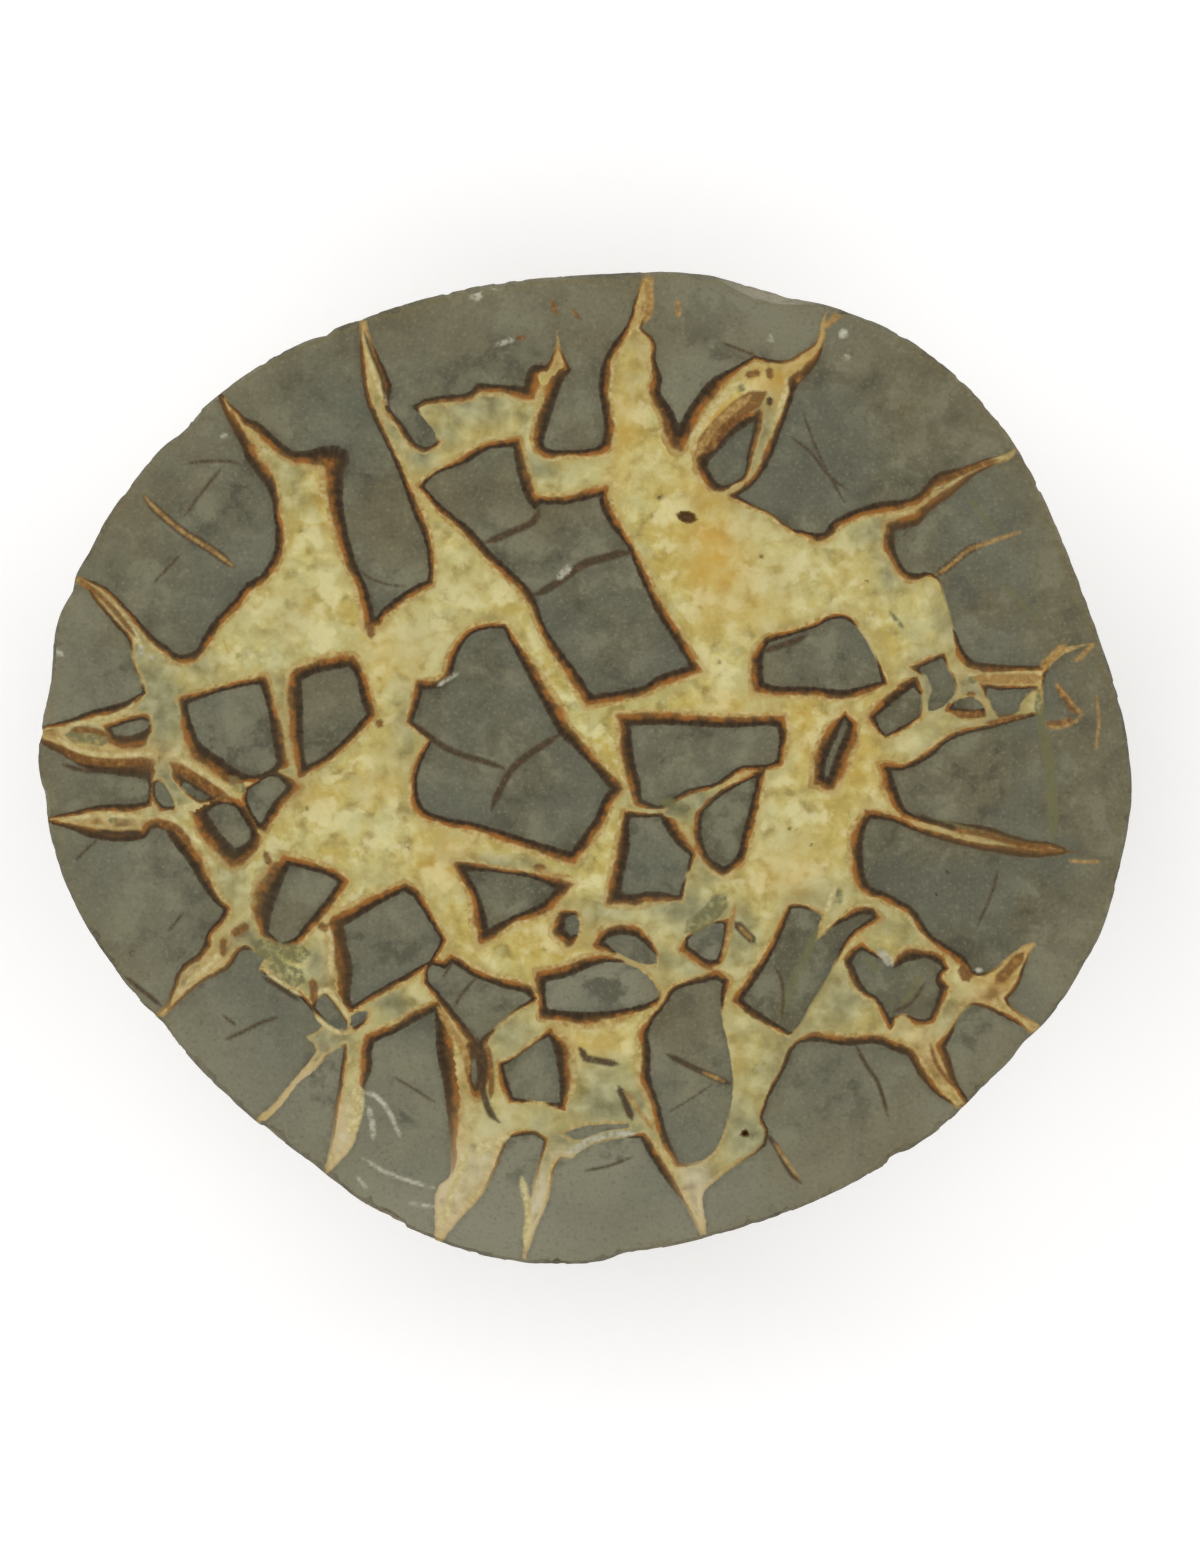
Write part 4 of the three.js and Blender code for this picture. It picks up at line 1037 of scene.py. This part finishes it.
corners = [Vector(point) for point in np.concatenate([rim_line, face_places])]
rim_edges = [(i, (i + 1) % columns) for i in range(columns)]
net = delaunay_2d_cdt(corners, rim_edges, [], 1, 1e-6)
face_xy = np.array([tuple(point) for point in net[0]])
face_triangles = [tuple(triangle) for triangle in net[2]]
assert len(face_xy) == len(corners)

# Height of the cut: flat, with the calcite polished a hair lower, real holes and small pits.
wall, along, block, lining = measure_walls(face_xy)
face_z = np.full(len(face_xy), face_height)
calcite_sink = 0.03  # mm
hole_start = 0.02  # mm below the cut, from which the solid has a hole of its own
pit_depth = 0.9  # of a pit's radius
face_z -= calcite_sink * smoothstep(0.0, 0.5, wall)
for i, (x, y) in enumerate(face_xy[columns:], start=columns):
    hit = solid.ray_cast(Vector((x, y, face_height + 5)), Vector((0, 0, -1)))[0]
    if hit is not None and hit.z < face_height - hole_start:
        face_z[i] = hit.z
for x, y, radius in pits:
    away = np.hypot(face_xy[:, 0] - x, face_xy[:, 1] - y) / radius
    face_z -= pit_depth * radius * (1 - smoothstep(0.35, 1.0, away))
face_z[:columns] = face_height

# Rings of the rind below the rim, with fewer columns as they shrink.
rim_radius = 54  # mm, the usual one
strides = []
for ring in range(rings):
    ring_radius = np.hypot(rind_x[ring] - middle[0], rind_y[ring] - middle[1]).mean()
    share = ring_radius / rim_radius
    strides.append(1 if share > halve_at[0] else 2 if share > halve_at[1] else 4)

vertices = [(x, y, z) for (x, y), z in zip(face_xy, face_z)]
faces = list(face_triangles)
rind_source = []
upper = list(range(columns))
for ring in range(1, rings):
    stride = strides[ring]
    lower = []
    for column in range(0, columns, stride):
        lower.append(len(vertices))
        rind_source.append(ring * columns + column)
        vertices.append((rind_x[ring, column], rind_y[ring, column], rind_z[ring, column]))
    share = len(upper) // len(lower)
    for i in range(len(lower)):
        left, right = lower[i], lower[(i + 1) % len(lower)]
        if share == 1:
            faces.append((upper[i], left, right, upper[(i + 1) % len(upper)]))
        else:
            first, second = upper[2 * i], upper[2 * i + 1]
            third = upper[(2 * i + 2) % len(upper)]
            faces.append((first, left, second))
            faces.append((second, left, right))
            faces.append((second, right, third))
    upper = lower
foot = len(vertices)
vertices.append((middle[0], middle[1], 0))
for i in range(len(upper)):
    faces.append((upper[i], foot, upper[(i + 1) % len(upper)]))

stone_mesh = bpy.data.meshes.new("nodule_stone")
stone_mesh.from_pydata([Vector(v) * mm for v in vertices], [], faces)
stone_mesh.validate()
shaper = bmesh.new()
shaper.from_mesh(stone_mesh)
bmesh.ops.recalc_face_normals(shaper, faces=shaper.faces)
shaper.to_mesh(stone_mesh)
shaper.free()

face_count = len(face_triangles)
for number, polygon in enumerate(stone_mesh.polygons):
    polygon.use_smooth = True
    polygon.material_index = 0 if number < face_count else 1
crease_turn = 32  # degrees from which an edge is sharp
stone_mesh.set_sharp_from_angle(angle=math.radians(crease_turn))

# What the finishes read at each point of the surface.
all_points = np.array(vertices)
on_cut = len(face_xy)
rind_source = np.array(rind_source)
line_values = {
    "dark_line": dark_lines, "gold_line": gold_lines, "rust_line": rust_lines,
    "cream_line": cream_lines, "pale_line": pale_lines, "olive_line": olive_lines,
}
patch_values = {
    "green": green_patches, "pink": pink_patches, "honey": honey_patches, "pale": pale_patches,
    "tan": tan_patches, "haze": haze_patches, "warm": warm_patches,
}
values = {name: np.zeros(len(vertices)) for name in (
    "wall", "along", "tone", "dark_width", "gold_width", "rim", *line_values, *patch_values,
    "hole", "craze", "sunk", "chip",
)}
block_names = list(rim_blocks) + list(islands)
block_tones = np.array([tones.get(name, usual_tone) for name in block_names])
values["wall"][:on_cut] = wall
values["along"][:on_cut] = along
values["tone"][:on_cut] = block_tones[block.astype(int)]
values["dark_width"][:on_cut] = lining
values["gold_width"][:on_cut] = gold_widths(face_xy)
values["rim"][:on_cut] = nearest_on(rim_line, face_xy, True)[0]
for name, lines in line_values.items():
    values[name][:on_cut] = line_mask(lines, face_xy)
for name, patches in patch_values.items():
    values[name][:on_cut] = patch_mask(patches, face_xy)
values["hole"][:on_cut] = smoothstep(0.08, 0.5, face_height - face_z)

# Down the rind a vein goes on below its place on the rim, and tapers out.
vein_narrowing = 0.11  # mm for each mm down
vein_pinch = 0.1  # mm, as soon as it leaves the cut
rind_lining = 0.5  # mm, at most
rind_gold = 0.6  # mm
rind_green = 0.3  # how olive the calcite is there
no_crack = 9  # mm from a crack, on the cut
crack_fade = 3  # mm more from a crack, just below the cut
column_of = rind_source % columns
depth_of = face_height - flat_z[rind_source]
sway = (4 * wander[rind_source] * smoothstep(0, 8, depth_of)).astype(int)
above = (column_of + sway) % columns
values["wall"][on_cut:-1] = wall[above] - vein_narrowing * depth_of - vein_pinch
values["along"][on_cut:-1] = along[above] + depth_of
values["tone"][on_cut:-1] = values["tone"][above]
values["dark_width"][on_cut:-1] = np.minimum(lining[above], rind_lining)
values["gold_width"][on_cut:-1] = rind_gold
shallow = 1 - smoothstep(1, 5, depth_of)
values["craze"][on_cut:-1] = craze[rind_source] + crack_fade * shallow
values["craze"][:on_cut] = no_crack
values["sunk"][on_cut:-1] = sunk.ravel()[rind_source]
values["green"][on_cut:-1] = rind_green

# The pale chip on the rim: a flattened ball, turned to lie along the rim.
chip_middle, chip_turn = np.array([20.1, 52.9]), math.radians(-14.5)
chip_length, chip_width, chip_depth = 5.5, 1.75, 2.1  # mm from its middle
offset = all_points[:, :2] - chip_middle
chip_cos, chip_sin = math.cos(chip_turn), math.sin(chip_turn)
chip_u = (offset[:, 0] * chip_cos + offset[:, 1] * chip_sin) / chip_length
chip_v = (offset[:, 1] * chip_cos - offset[:, 0] * chip_sin) / chip_width
chip_w = (all_points[:, 2] - face_height) / chip_depth
values["chip"] = 1 - smoothstep(0.55, 1.2, np.sqrt(chip_u**2 + chip_v**2 + chip_w**2))
for name, numbers in values.items():
    stone_mesh.attributes.new(name, "FLOAT", "POINT").data.foreach_set(
        "value", numbers.astype(np.float32)
    )

nodule_stone = bpy.data.objects.new("nodule_stone", stone_mesh)
bpy.context.collection.objects.link(nodule_stone)


# ------------------------------------------------------------------ finishes
# Limestone: dense grey-brown mudstone with a fine grain. Vein: brown to cream lining, then mottled
# yellow calcite. The cut is polished; the rind is dull, weathered and earthy.


def paint(red, green, blue):
    """A colour, given as it looks on a screen from 0 to 255, as light."""
    linear = []
    for part in (red, green, blue):
        part /= 255
        linear.append(part / 12.92 if part <= 0.04045 else ((part + 0.055) / 1.055) ** 2.4)
    return (*linear, 1)


def place(tree, kind, inputs=(), **settings):
    """Adds a shader node; an input is a value or another node's output."""
    made = tree.nodes.new("ShaderNode" + kind)
    for name, value in settings.items():
        setattr(made, name, value)
    for name, value in dict(inputs).items():
        if isinstance(value, bpy.types.NodeSocket):
            tree.links.new(value, made.inputs[name])
        else:
            made.inputs[name].default_value = value
    return made


def maths(tree, operation, first, second=0.0, third=None):
    inputs = {0: first, 1: second}
    if third is not None:
        inputs[2] = third
    return place(tree, "Math", inputs, operation=operation).outputs[0]


def ramp(tree, value, low, high, start=0.0, end=1.0):
    """Goes smoothly from start to end as the value goes from low to high."""
    inputs = {"Value": value, "From Min": low, "From Max": high, "To Min": start, "To Max": end}
    return place(tree, "MapRange", inputs, interpolation_type="SMOOTHSTEP").outputs[0]


def blend(tree, share, first, second):
    """Mixes two colours."""
    inputs = {0: share, 6: first, 7: second}
    return place(tree, "Mix", inputs, data_type="RGBA", clamp_factor=True).outputs[2]


def tinted(tree, base, tints):
    """Blends tints over a base, each as its value goes from low to high."""
    for value, low, high, share, tint in tints:
        base = blend(tree, ramp(tree, value, low, high, 0, share), base, tint)
    return base


def colour_band(tree, value, stops):
    """Colours along a value from 0 to 1."""
    made = place(tree, "ValToRGB", {"Fac": value})
    elements = made.color_ramp.elements
    while len(elements) < len(stops):
        elements.new(0.5)
    for element, (position, colour) in zip(elements, stops):
        element.position = position
        element.color = colour
    return made.outputs["Color"]


def cloud(tree, where, reach, detail=2.0, roughness=0.5):
    """Soft noise from 0 to 1, with lumps of about the given size in mm."""
    inputs = {"Vector": where, "Scale": 1 / reach, "Detail": detail, "Roughness": roughness}
    return place(tree, "TexNoise", inputs).outputs["Fac"]


def swirled(tree, where, reach, push):
    """The place, pushed about unevenly, so that what is drawn there swirls."""
    pushes = place(tree, "TexNoise", {"Vector": where, "Scale": 1 / reach, "Detail": 2.0})
    even = place(
        tree, "VectorMath", {0: pushes.outputs["Color"], 1: (0.5, 0.5, 0.5)}, operation="SUBTRACT"
    ).outputs[0]
    return place(
        tree, "VectorMath", {0: even, 1: (push, push, push), 2: where}, operation="MULTIPLY_ADD"
    ).outputs[0]


def new_group(name, inputs, outputs):
    """A shader node group with named sockets."""
    group = bpy.data.node_groups.new(name, "ShaderNodeTree")
    for side, sockets in (("INPUT", inputs), ("OUTPUT", outputs)):
        for socket, kind in sockets:
            group.interface.new_socket(
                name=socket, in_out=side, socket_type="NodeSocket" + kind
            )
    return group, group.nodes.new("NodeGroupInput").outputs, group.nodes.new("NodeGroupOutput")


def millimetres(tree):
    """The surface's own place, in mm."""
    spot = place(tree, "TexCoord").outputs["Object"]
    return place(tree, "VectorMath", {0: spot, "Scale": 1 / mm}, operation="SCALE").outputs[0]


# Limestone, shared by the cut and the rind.
limestone, given, result = new_group(
    "limestone",
    [("Tone", "Float"), ("Weathering", "Float"), ("Rim", "Float"), ("Haze", "Float"),
     ("Warmth", "Float")],
    [("Color", "Color"), ("Grain", "Float")],
)
spot = millimetres(limestone)
mottle = cloud(limestone, swirled(limestone, spot, 3.0, 2.5), 4.2, 4, 0.58)
fine = cloud(limestone, spot, 0.42, 4, 0.65)
specks = cloud(limestone, spot, 0.22, 1, 0.5)
drift = cloud(limestone, spot, 13, 2)
body = blend(limestone, given["Tone"], paint(82, 79, 59), paint(118, 116, 95))
warmth = maths(limestone, "MULTIPLY", given["Warmth"], 0.75)
body = blend(limestone, warmth, body, paint(97, 89, 63))
body = tinted(limestone, body, (
    (mottle, 0.48, 0.64, 0.75, paint(116, 113, 90)),
    (mottle, 0.48, 0.34, 0.75, paint(68, 65, 50)),
    (drift, 0.5, 0.66, 0.6, paint(88, 89, 75)),
    (drift, 0.47, 0.32, 0.6, paint(98, 90, 64)),
    (given["Rim"], 7, 1, 0.35, paint(104, 98, 73)),
    (given["Rim"], 0.8, 0.1, 0.4, paint(106, 94, 60)),
))
body = blend(limestone, given["Haze"], body, paint(124, 122, 102))
body = tinted(limestone, body, (
    (fine, 0.53, 0.74, 0.42, paint(134, 129, 104)),
    (fine, 0.47, 0.26, 0.4, paint(56, 52, 38)),
    (specks, 0.74, 0.82, 0.5, paint(150, 146, 118)),
))
earth = colour_band(limestone, mottle, [
    (0.3, paint(104, 92, 72)), (0.48, paint(126, 114, 91)), (0.62, paint(140, 124, 96)),
    (0.75, paint(118, 98, 66)),
])
earth = tinted(limestone, earth, (
    (fine, 0.45, 0.7, 0.5, paint(164, 152, 126)),
    (fine, 0.46, 0.3, 0.6, paint(80, 70, 54)),
))
body = blend(limestone, given["Weathering"], body, earth)
limestone.links.new(body, result.inputs["Color"])
limestone.links.new(fine, result.inputs["Grain"])

# Vein: its lining and calcite, shared by the cut and by the vein ends that show in the rind.
vein, given, result = new_group(
    "vein",
    [("Wall", "Float"), ("Along", "Float"), ("Dark Width", "Float"), ("Gold Width", "Float"),
     ("Green", "Float"), ("Pink", "Float"), ("Honey", "Float"), ("Pale", "Float"),
     ("Tan", "Float")],
    [("Color", "Color"), ("Vein", "Float"), ("Height", "Float")],
)
spot = millimetres(vein)
wobble = cloud(vein, spot, 0.9, 3, 0.6)
edge = maths(vein, "MULTIPLY_ADD", maths(vein, "SUBTRACT", wobble, 0.5), 0.4, given["Wall"])
fibre_where = place(vein, "CombineXYZ", {
    "X": maths(vein, "MULTIPLY", given["Along"], 1.5),
    "Y": maths(vein, "MULTIPLY", given["Wall"], 0.5),
}).outputs[0]
fibres = cloud(vein, fibre_where, 1, 2, 0.55)
teeth = maths(vein, "SUBTRACT", fibres, 0.5)
swell = cloud(vein, spot, 2.4, 3, 0.6)
thicker = maths(vein, "MULTIPLY_ADD", teeth, 0.25, ramp(vein, swell, 0.3, 0.7, 0.85, 1.15))
richer = maths(vein, "MULTIPLY_ADD", teeth, 0.9, ramp(vein, swell, 0.66, 0.36, 0.1, 1.6))
richer = maths(vein, "MAXIMUM", richer, 0.1)
dark_end = maths(vein, "MULTIPLY_ADD", given["Dark Width"], thicker, 0.12)
fade_end = maths(vein, "MULTIPLY", dark_end, 1.3)
gold_width = maths(vein, "MAXIMUM", given["Gold Width"], 0.02)
gold_end = maths(vein, "MULTIPLY_ADD", gold_width, richer, fade_end)

# Calcite: golden and olive blotches under milky veils, all swirled.
swirl = swirled(vein, spot, 3.0, 1.4)
blotches = cloud(vein, swirl, 1.9, 4, 0.5)
golden = cloud(vein, swirl, 5.0, 2, 0.6)
milky = cloud(vein, swirl, 3.4, 3, 0.55)
fine = cloud(vein, spot, 0.55, 2, 0.6)
calcite = colour_band(vein, blotches, [
    (0.34, paint(136, 121, 66)), (0.43, paint(160, 144, 80)), (0.5, paint(175, 160, 92)),
    (0.57, paint(183, 170, 104)), (0.65, paint(194, 184, 128)),
])
calcite = tinted(vein, calcite, (
    (golden, 0.5, 0.64, 0.6, paint(172, 150, 72)),
    (golden, 0.5, 0.36, 0.65, paint(172, 168, 118)),
    (milky, 0.51, 0.64, 0.75, paint(203, 194, 142)),
    (milky, 0.46, 0.34, 0.45, paint(156, 140, 76)),
    (fine, 0.55, 0.75, 0.3, paint(202, 195, 150)),
    (fine, 0.45, 0.28, 0.25, paint(146, 130, 74)),
    (given["Wall"], 2.6, 0.9, 0.5, paint(152, 136, 84)),
))
calcite = blend(
    vein, maths(vein, "MULTIPLY", given["Pale"], ramp(vein, blotches, 0.3, 0.6, 0.3, 0.9)),
    calcite, paint(185, 177, 128),
)
calcite = blend(
    vein, maths(vein, "MULTIPLY", given["Green"], ramp(vein, golden, 0.2, 0.6, 1.5, 1.1)),
    calcite, colour_band(vein, blotches, [
        (0.3, paint(108, 104, 72)), (0.5, paint(134, 130, 94)), (0.7, paint(160, 155, 116)),
    ]),
)
calcite = blend(
    vein, maths(vein, "MULTIPLY", given["Honey"], ramp(vein, blotches, 0.25, 0.65, 1.0, 0.5)),
    calcite, paint(184, 144, 58),
)
calcite = blend(
    vein, maths(vein, "MULTIPLY", given["Tan"], 0.85), calcite,
    colour_band(vein, blotches, [
        (0.34, paint(108, 76, 36)), (0.48, paint(150, 116, 62)), (0.64, paint(180, 154, 100)),
    ]),
)
calcite = blend(
    vein, maths(vein, "MULTIPLY", given["Pink"], 0.85), calcite,
    colour_band(vein, blotches, [
        (0.34, paint(142, 130, 105)), (0.5, paint(168, 156, 128)), (0.66, paint(186, 178, 153)),
    ]),
)

gold_share = place(vein, "MapRange", {
    "Value": edge, "From Min": fade_end, "From Max": gold_end,
}).outputs[0]
gold = colour_band(vein, fibres, [
    (0.35, paint(148, 118, 62)), (0.5, paint(164, 141, 84)), (0.65, paint(182, 162, 108)),
])
lining_share = place(vein, "MapRange", {
    "Value": edge, "From Min": 0.0, "From Max": fade_end,
}).outputs[0]
lining_colour = colour_band(vein, lining_share, [
    (0.0, paint(78, 69, 52)), (0.08, paint(66, 54, 36)), (0.2, paint(56, 42, 23)),
    (0.4, paint(64, 46, 22)), (0.52, paint(78, 55, 26)), (0.63, paint(94, 66, 31)),
    (0.74, paint(116, 88, 44)), (0.86, paint(148, 124, 72)), (1.0, paint(162, 141, 88)),
])
rusty = cloud(vein, spot, 1.6, 3, 0.6)
inner = maths(
    vein, "MULTIPLY", ramp(vein, lining_share, 0.62, 0.3), ramp(vein, fibres, 0.42, 0.62, 0, 0.65)
)
lining_colour = blend(vein, inner, lining_colour, paint(36, 26, 14))
outer = maths(
    vein, "MULTIPLY", ramp(vein, lining_share, 0.3, 0.62), ramp(vein, rusty, 0.4, 0.62, 0, 0.8)
)
lining_colour = blend(vein, outer, lining_colour, paint(146, 92, 34))
soft_pink = maths(vein, "MULTIPLY", given["Pink"], 1.05)
gold = blend(vein, soft_pink, gold, paint(184, 168, 130))
lining_colour = blend(vein, soft_pink, lining_colour, paint(150, 130, 92))
soft_tan = maths(vein, "MULTIPLY", given["Tan"], 0.6)
gold = blend(vein, soft_tan, gold, paint(168, 140, 88))
lining_colour = blend(vein, soft_tan, lining_colour, paint(104, 74, 36))
soft_green = maths(vein, "MULTIPLY", given["Green"], 0.7)
gold = blend(vein, soft_green, gold, paint(140, 132, 92))
faint_green = maths(vein, "MULTIPLY", given["Green"], 0.3)
lining_colour = blend(vein, faint_green, lining_colour, paint(84, 78, 54))

past_gold = ramp(vein, gold_share, 0.3, 1.0)
has_gold = ramp(vein, given["Gold Width"], 0.05, 0.3)
gold_cover = maths(vein, "MULTIPLY", maths(vein, "SUBTRACT", 1.0, past_gold), has_gold)
colour = blend(vein, gold_cover, calcite, gold)
past_lining = ramp(vein, lining_share, 0.7, 1.0)
has_lining = ramp(vein, given["Dark Width"], 0.03, 0.25)
lining_cover = maths(vein, "MULTIPLY", maths(vein, "SUBTRACT", 1.0, past_lining), has_lining)
colour = blend(vein, lining_cover, colour, lining_colour)
in_vein = ramp(vein, edge, -0.11, 0.11)
for name, value in (("Color", colour), ("Vein", in_vein), ("Height", blotches)):
    vein.links.new(value, result.inputs[name])


def reads(tree, name):
    return place(tree, "Attribute", attribute_name=name).outputs["Fac"]


def new_finish(name):
    finish = bpy.data.materials.new(name)
    finish.use_nodes = True
    tree = finish.node_tree
    return finish, tree, tree.nodes["Principled BSDF"]


def place_group(tree, group, inputs):
    return place(tree, "Group", inputs, node_tree=group).outputs


# The polished cut.
polished_cut, tree, surface = new_finish("polished_cut")
stone = place_group(tree, limestone, {
    "Tone": reads(tree, "tone"), "Weathering": 0.0, "Rim": reads(tree, "rim"),
    "Haze": reads(tree, "haze"), "Warmth": reads(tree, "warm"),
})
filling = place_group(tree, vein, {
    "Wall": reads(tree, "wall"), "Along": reads(tree, "along"),
    "Dark Width": reads(tree, "dark_width"), "Gold Width": reads(tree, "gold_width"),
    "Green": reads(tree, "green"), "Pink": reads(tree, "pink"),
    "Honey": reads(tree, "honey"), "Pale": reads(tree, "pale"), "Tan": reads(tree, "tan"),
})
spot = millimetres(tree)
patchy = cloud(tree, spot, 0.7, 3, 0.6)
rock = stone["Color"]
rock = blend(
    tree, maths(tree, "MULTIPLY", reads(tree, "green"), ramp(tree, patchy, 0.4, 0.7, 0, 0.55)),
    rock, paint(100, 100, 72),
)
stain = ramp(tree, reads(tree, "wall"), -0.8, 0.1, 0, 0.4)
stain = maths(tree, "MULTIPLY", stain, ramp(tree, patchy, 0.3, 0.7))
rock = blend(tree, stain, rock, paint(62, 54, 38))
colour = blend(tree, filling["Vein"], rock, filling["Color"])
olive = ramp(tree, patchy, 0.3, 0.6, 0.3, 0.9)
olive = maths(tree, "MULTIPLY", reads(tree, "olive_line"), olive)
colour = blend(tree, olive, colour, paint(98, 96, 62))
for name, low, high, stops in (
    ("cream_line", 0.45, 0.9, [
        (0.3, paint(160, 144, 92)), (0.5, paint(178, 164, 112)), (0.7, paint(194, 184, 140)),
    ]),
    ("rust_line", 0.7, 0.95, [
        (0.3, paint(84, 58, 28)), (0.5, paint(108, 72, 32)), (0.7, paint(140, 102, 50)),
    ]),
    ("dark_line", 0.7, 0.95, [
        (0.3, paint(50, 40, 26)), (0.5, paint(62, 47, 28)), (0.7, paint(84, 64, 38)),
    ]),
    ("gold_line", 0.6, 0.95, [
        (0.3, paint(124, 94, 48)), (0.5, paint(146, 114, 62)), (0.7, paint(168, 140, 86)),
    ]),
    ("pale_line", 0.15, 0.85, [
        (0.3, paint(130, 128, 106)), (0.5, paint(158, 156, 134)), (0.7, paint(184, 182, 164)),
    ]),
):
    mark = maths(tree, "MULTIPLY", reads(tree, name), ramp(tree, patchy, 0.25, 0.5, low, high))
    colour = blend(tree, mark, colour, colour_band(tree, patchy, stops))
colour = blend(tree, reads(tree, "hole"), colour, paint(108, 80, 44))
tree.links.new(colour, surface.inputs["Base Color"])
polish = blend(
    tree, filling["Vein"],
    colour_band(tree, patchy, [(0.3, (0.34, 0.34, 0.34, 1)), (0.7, (0.46, 0.46, 0.46, 1))]),
    colour_band(tree, patchy, [(0.3, (0.22, 0.22, 0.22, 1)), (0.7, (0.36, 0.36, 0.36, 1))]),
)
tree.links.new(polish, surface.inputs["Roughness"])
grain = maths(tree, "MULTIPLY", stone["Grain"], 0.7)
relief = maths(tree, "MULTIPLY_ADD", filling["Height"], filling["Vein"], grain)
bump = place(tree, "Bump", {"Height": relief, "Strength": 0.06, "Distance": 0.0002})
tree.links.new(bump.outputs[0], surface.inputs["Normal"])
surface.inputs["IOR"].default_value = 1.48
surface.inputs["Specular IOR Level"].default_value = 0.3

# The weathered rind.
weathered_rind, tree, surface = new_finish("weathered_rind")
spot = millimetres(tree)
height = place(tree, "SeparateXYZ", {0: spot}).outputs["Z"]
weathering = ramp(tree, height, face_height - 0.5, face_height - 3, 0.1, 0.85)
stone = place_group(tree, limestone, {
    "Tone": 0.6, "Weathering": weathering, "Rim": 20.0, "Haze": 0.0, "Warmth": 0.3,
})
filling = place_group(tree, vein, {
    "Wall": reads(tree, "wall"), "Along": reads(tree, "along"),
    "Dark Width": reads(tree, "dark_width"), "Gold Width": reads(tree, "gold_width"),
    "Green": reads(tree, "green"), "Pink": 0.0, "Honey": 0.25, "Pale": 0.2, "Tan": 0.5,
})
patchy = cloud(tree, spot, 1.1, 4, 0.65)
broad = cloud(tree, spot, 14, 3, 0.55)
rock = stone["Color"]
rock = blend(
    tree, maths(tree, "MULTIPLY", ramp(tree, broad, 0.5, 0.68, 0, 0.7), weathering),
    rock, paint(150, 118, 74),
)
rock = blend(
    tree, maths(tree, "MULTIPLY", ramp(tree, broad, 0.44, 0.3, 0, 0.65), weathering),
    rock, paint(112, 108, 96),
)
uneven = maths(tree, "SUBTRACT", patchy, 0.5)
fringe = maths(tree, "MULTIPLY_ADD", uneven, 0.9, reads(tree, "craze"))
# Along the cracks: brown, then dark, then pale in their middles; and darker where the rind is sunk
# in.
rock = tinted(tree, rock, (
    (fringe, 1.9, 0.5, 0.6, paint(128, 92, 52)),
    (fringe, 0.7, 0.25, 0.9, paint(58, 42, 27)),
    (fringe, 0.2, 0.02, 0.8, paint(196, 176, 124)),
    (reads(tree, "sunk"), 0.25, 0.75, 0.35, paint(84, 72, 52)),
))
colour = blend(tree, filling["Vein"], rock, filling["Color"])
colour = blend(
    tree, maths(tree, "MULTIPLY", reads(tree, "chip"), ramp(tree, patchy, 0.2, 0.5, 0.6, 1.0)),
    colour, paint(160, 154, 132),
)
tree.links.new(colour, surface.inputs["Base Color"])
tree.links.new(ramp(tree, patchy, 0.3, 0.7, 0.78, 0.95), surface.inputs["Roughness"])
relief = maths(tree, "MULTIPLY_ADD", patchy, 0.9, maths(tree, "MULTIPLY", stone["Grain"], 0.6))
bump = place(tree, "Bump", {"Height": relief, "Strength": 0.6, "Distance": 0.0006})
tree.links.new(bump.outputs[0], surface.inputs["Normal"])
surface.inputs["IOR"].default_value = 1.45

stone_mesh.materials.append(polished_cut)
stone_mesh.materials.append(weathered_rind)
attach(nodule_stone, "root")
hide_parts("nodule")


# ------------------------------------------------------------------ floor, light and camera
# A plain pale table in a soft white studio, seen from straight above through a long lens.

floor_mesh = bpy.data.meshes.new("floor")
half = 3.0  # metres
floor_mesh.from_pydata(
    [(-half, -half, 0), (half, -half, 0), (half, half, 0), (-half, half, 0)], [], [(0, 1, 2, 3)]
)
floor = bpy.data.objects.new("floor", floor_mesh)
bpy.context.collection.objects.link(floor)
plain_white, tree, surface = new_finish("plain_white")
surface.inputs["Base Color"].default_value = (0.97, 0.97, 0.97, 1)
surface.inputs["Emission Color"].default_value = (1, 1, 1, 1)
surface.inputs["Emission Strength"].default_value = 0.12
surface.inputs["Roughness"].default_value = 0.9
surface.inputs["Specular IOR Level"].default_value = 0.1
floor_mesh.materials.append(plain_white)

world = bpy.data.worlds.new("studio")
world.use_nodes = True
world.node_tree.nodes["Background"].inputs["Color"].default_value = (1, 1, 1, 1)
world.node_tree.nodes["Background"].inputs["Strength"].default_value = 0.4
bpy.context.scene.world = world
bpy.context.scene.view_settings.view_transform = "Standard"

lamp_height = 0.7  # metres
for name, x, y, size, power in (
    ("key_light", -0.62, 0.56, 0.9, 5.0), ("back_light", 0.62, 0.56, 0.9, 4.2),
    ("front_light", -0.62, -0.56, 0.9, 4.0), ("fill_light", 0.62, -0.56, 0.9, 3.6),
):
    light = bpy.data.lights.new(name, "AREA")
    light.size = size
    light.energy = power
    lamp = bpy.data.objects.new(name, light)
    lamp.location = (x, y, lamp_height)
    lamp.rotation_euler = (-lamp.location).to_track_quat("-Z", "Y").to_euler()
    bpy.context.collection.objects.link(lamp)

frame_height = 0.1706  # metres of the cut that the picture's long side takes in
camera_distance = 0.95  # metres above the cut
view_middle = (0.00165, -0.00083)  # metres
camera = bpy.data.cameras.new("camera")
camera.sensor_fit = "VERTICAL"
camera.sensor_height = 24
camera.lens = camera.sensor_height * camera_distance / frame_height
eye = bpy.data.objects.new("camera", camera)
eye.location = (*view_middle, face_height * mm + camera_distance)
bpy.context.collection.objects.link(eye)
bpy.context.scene.camera = eye
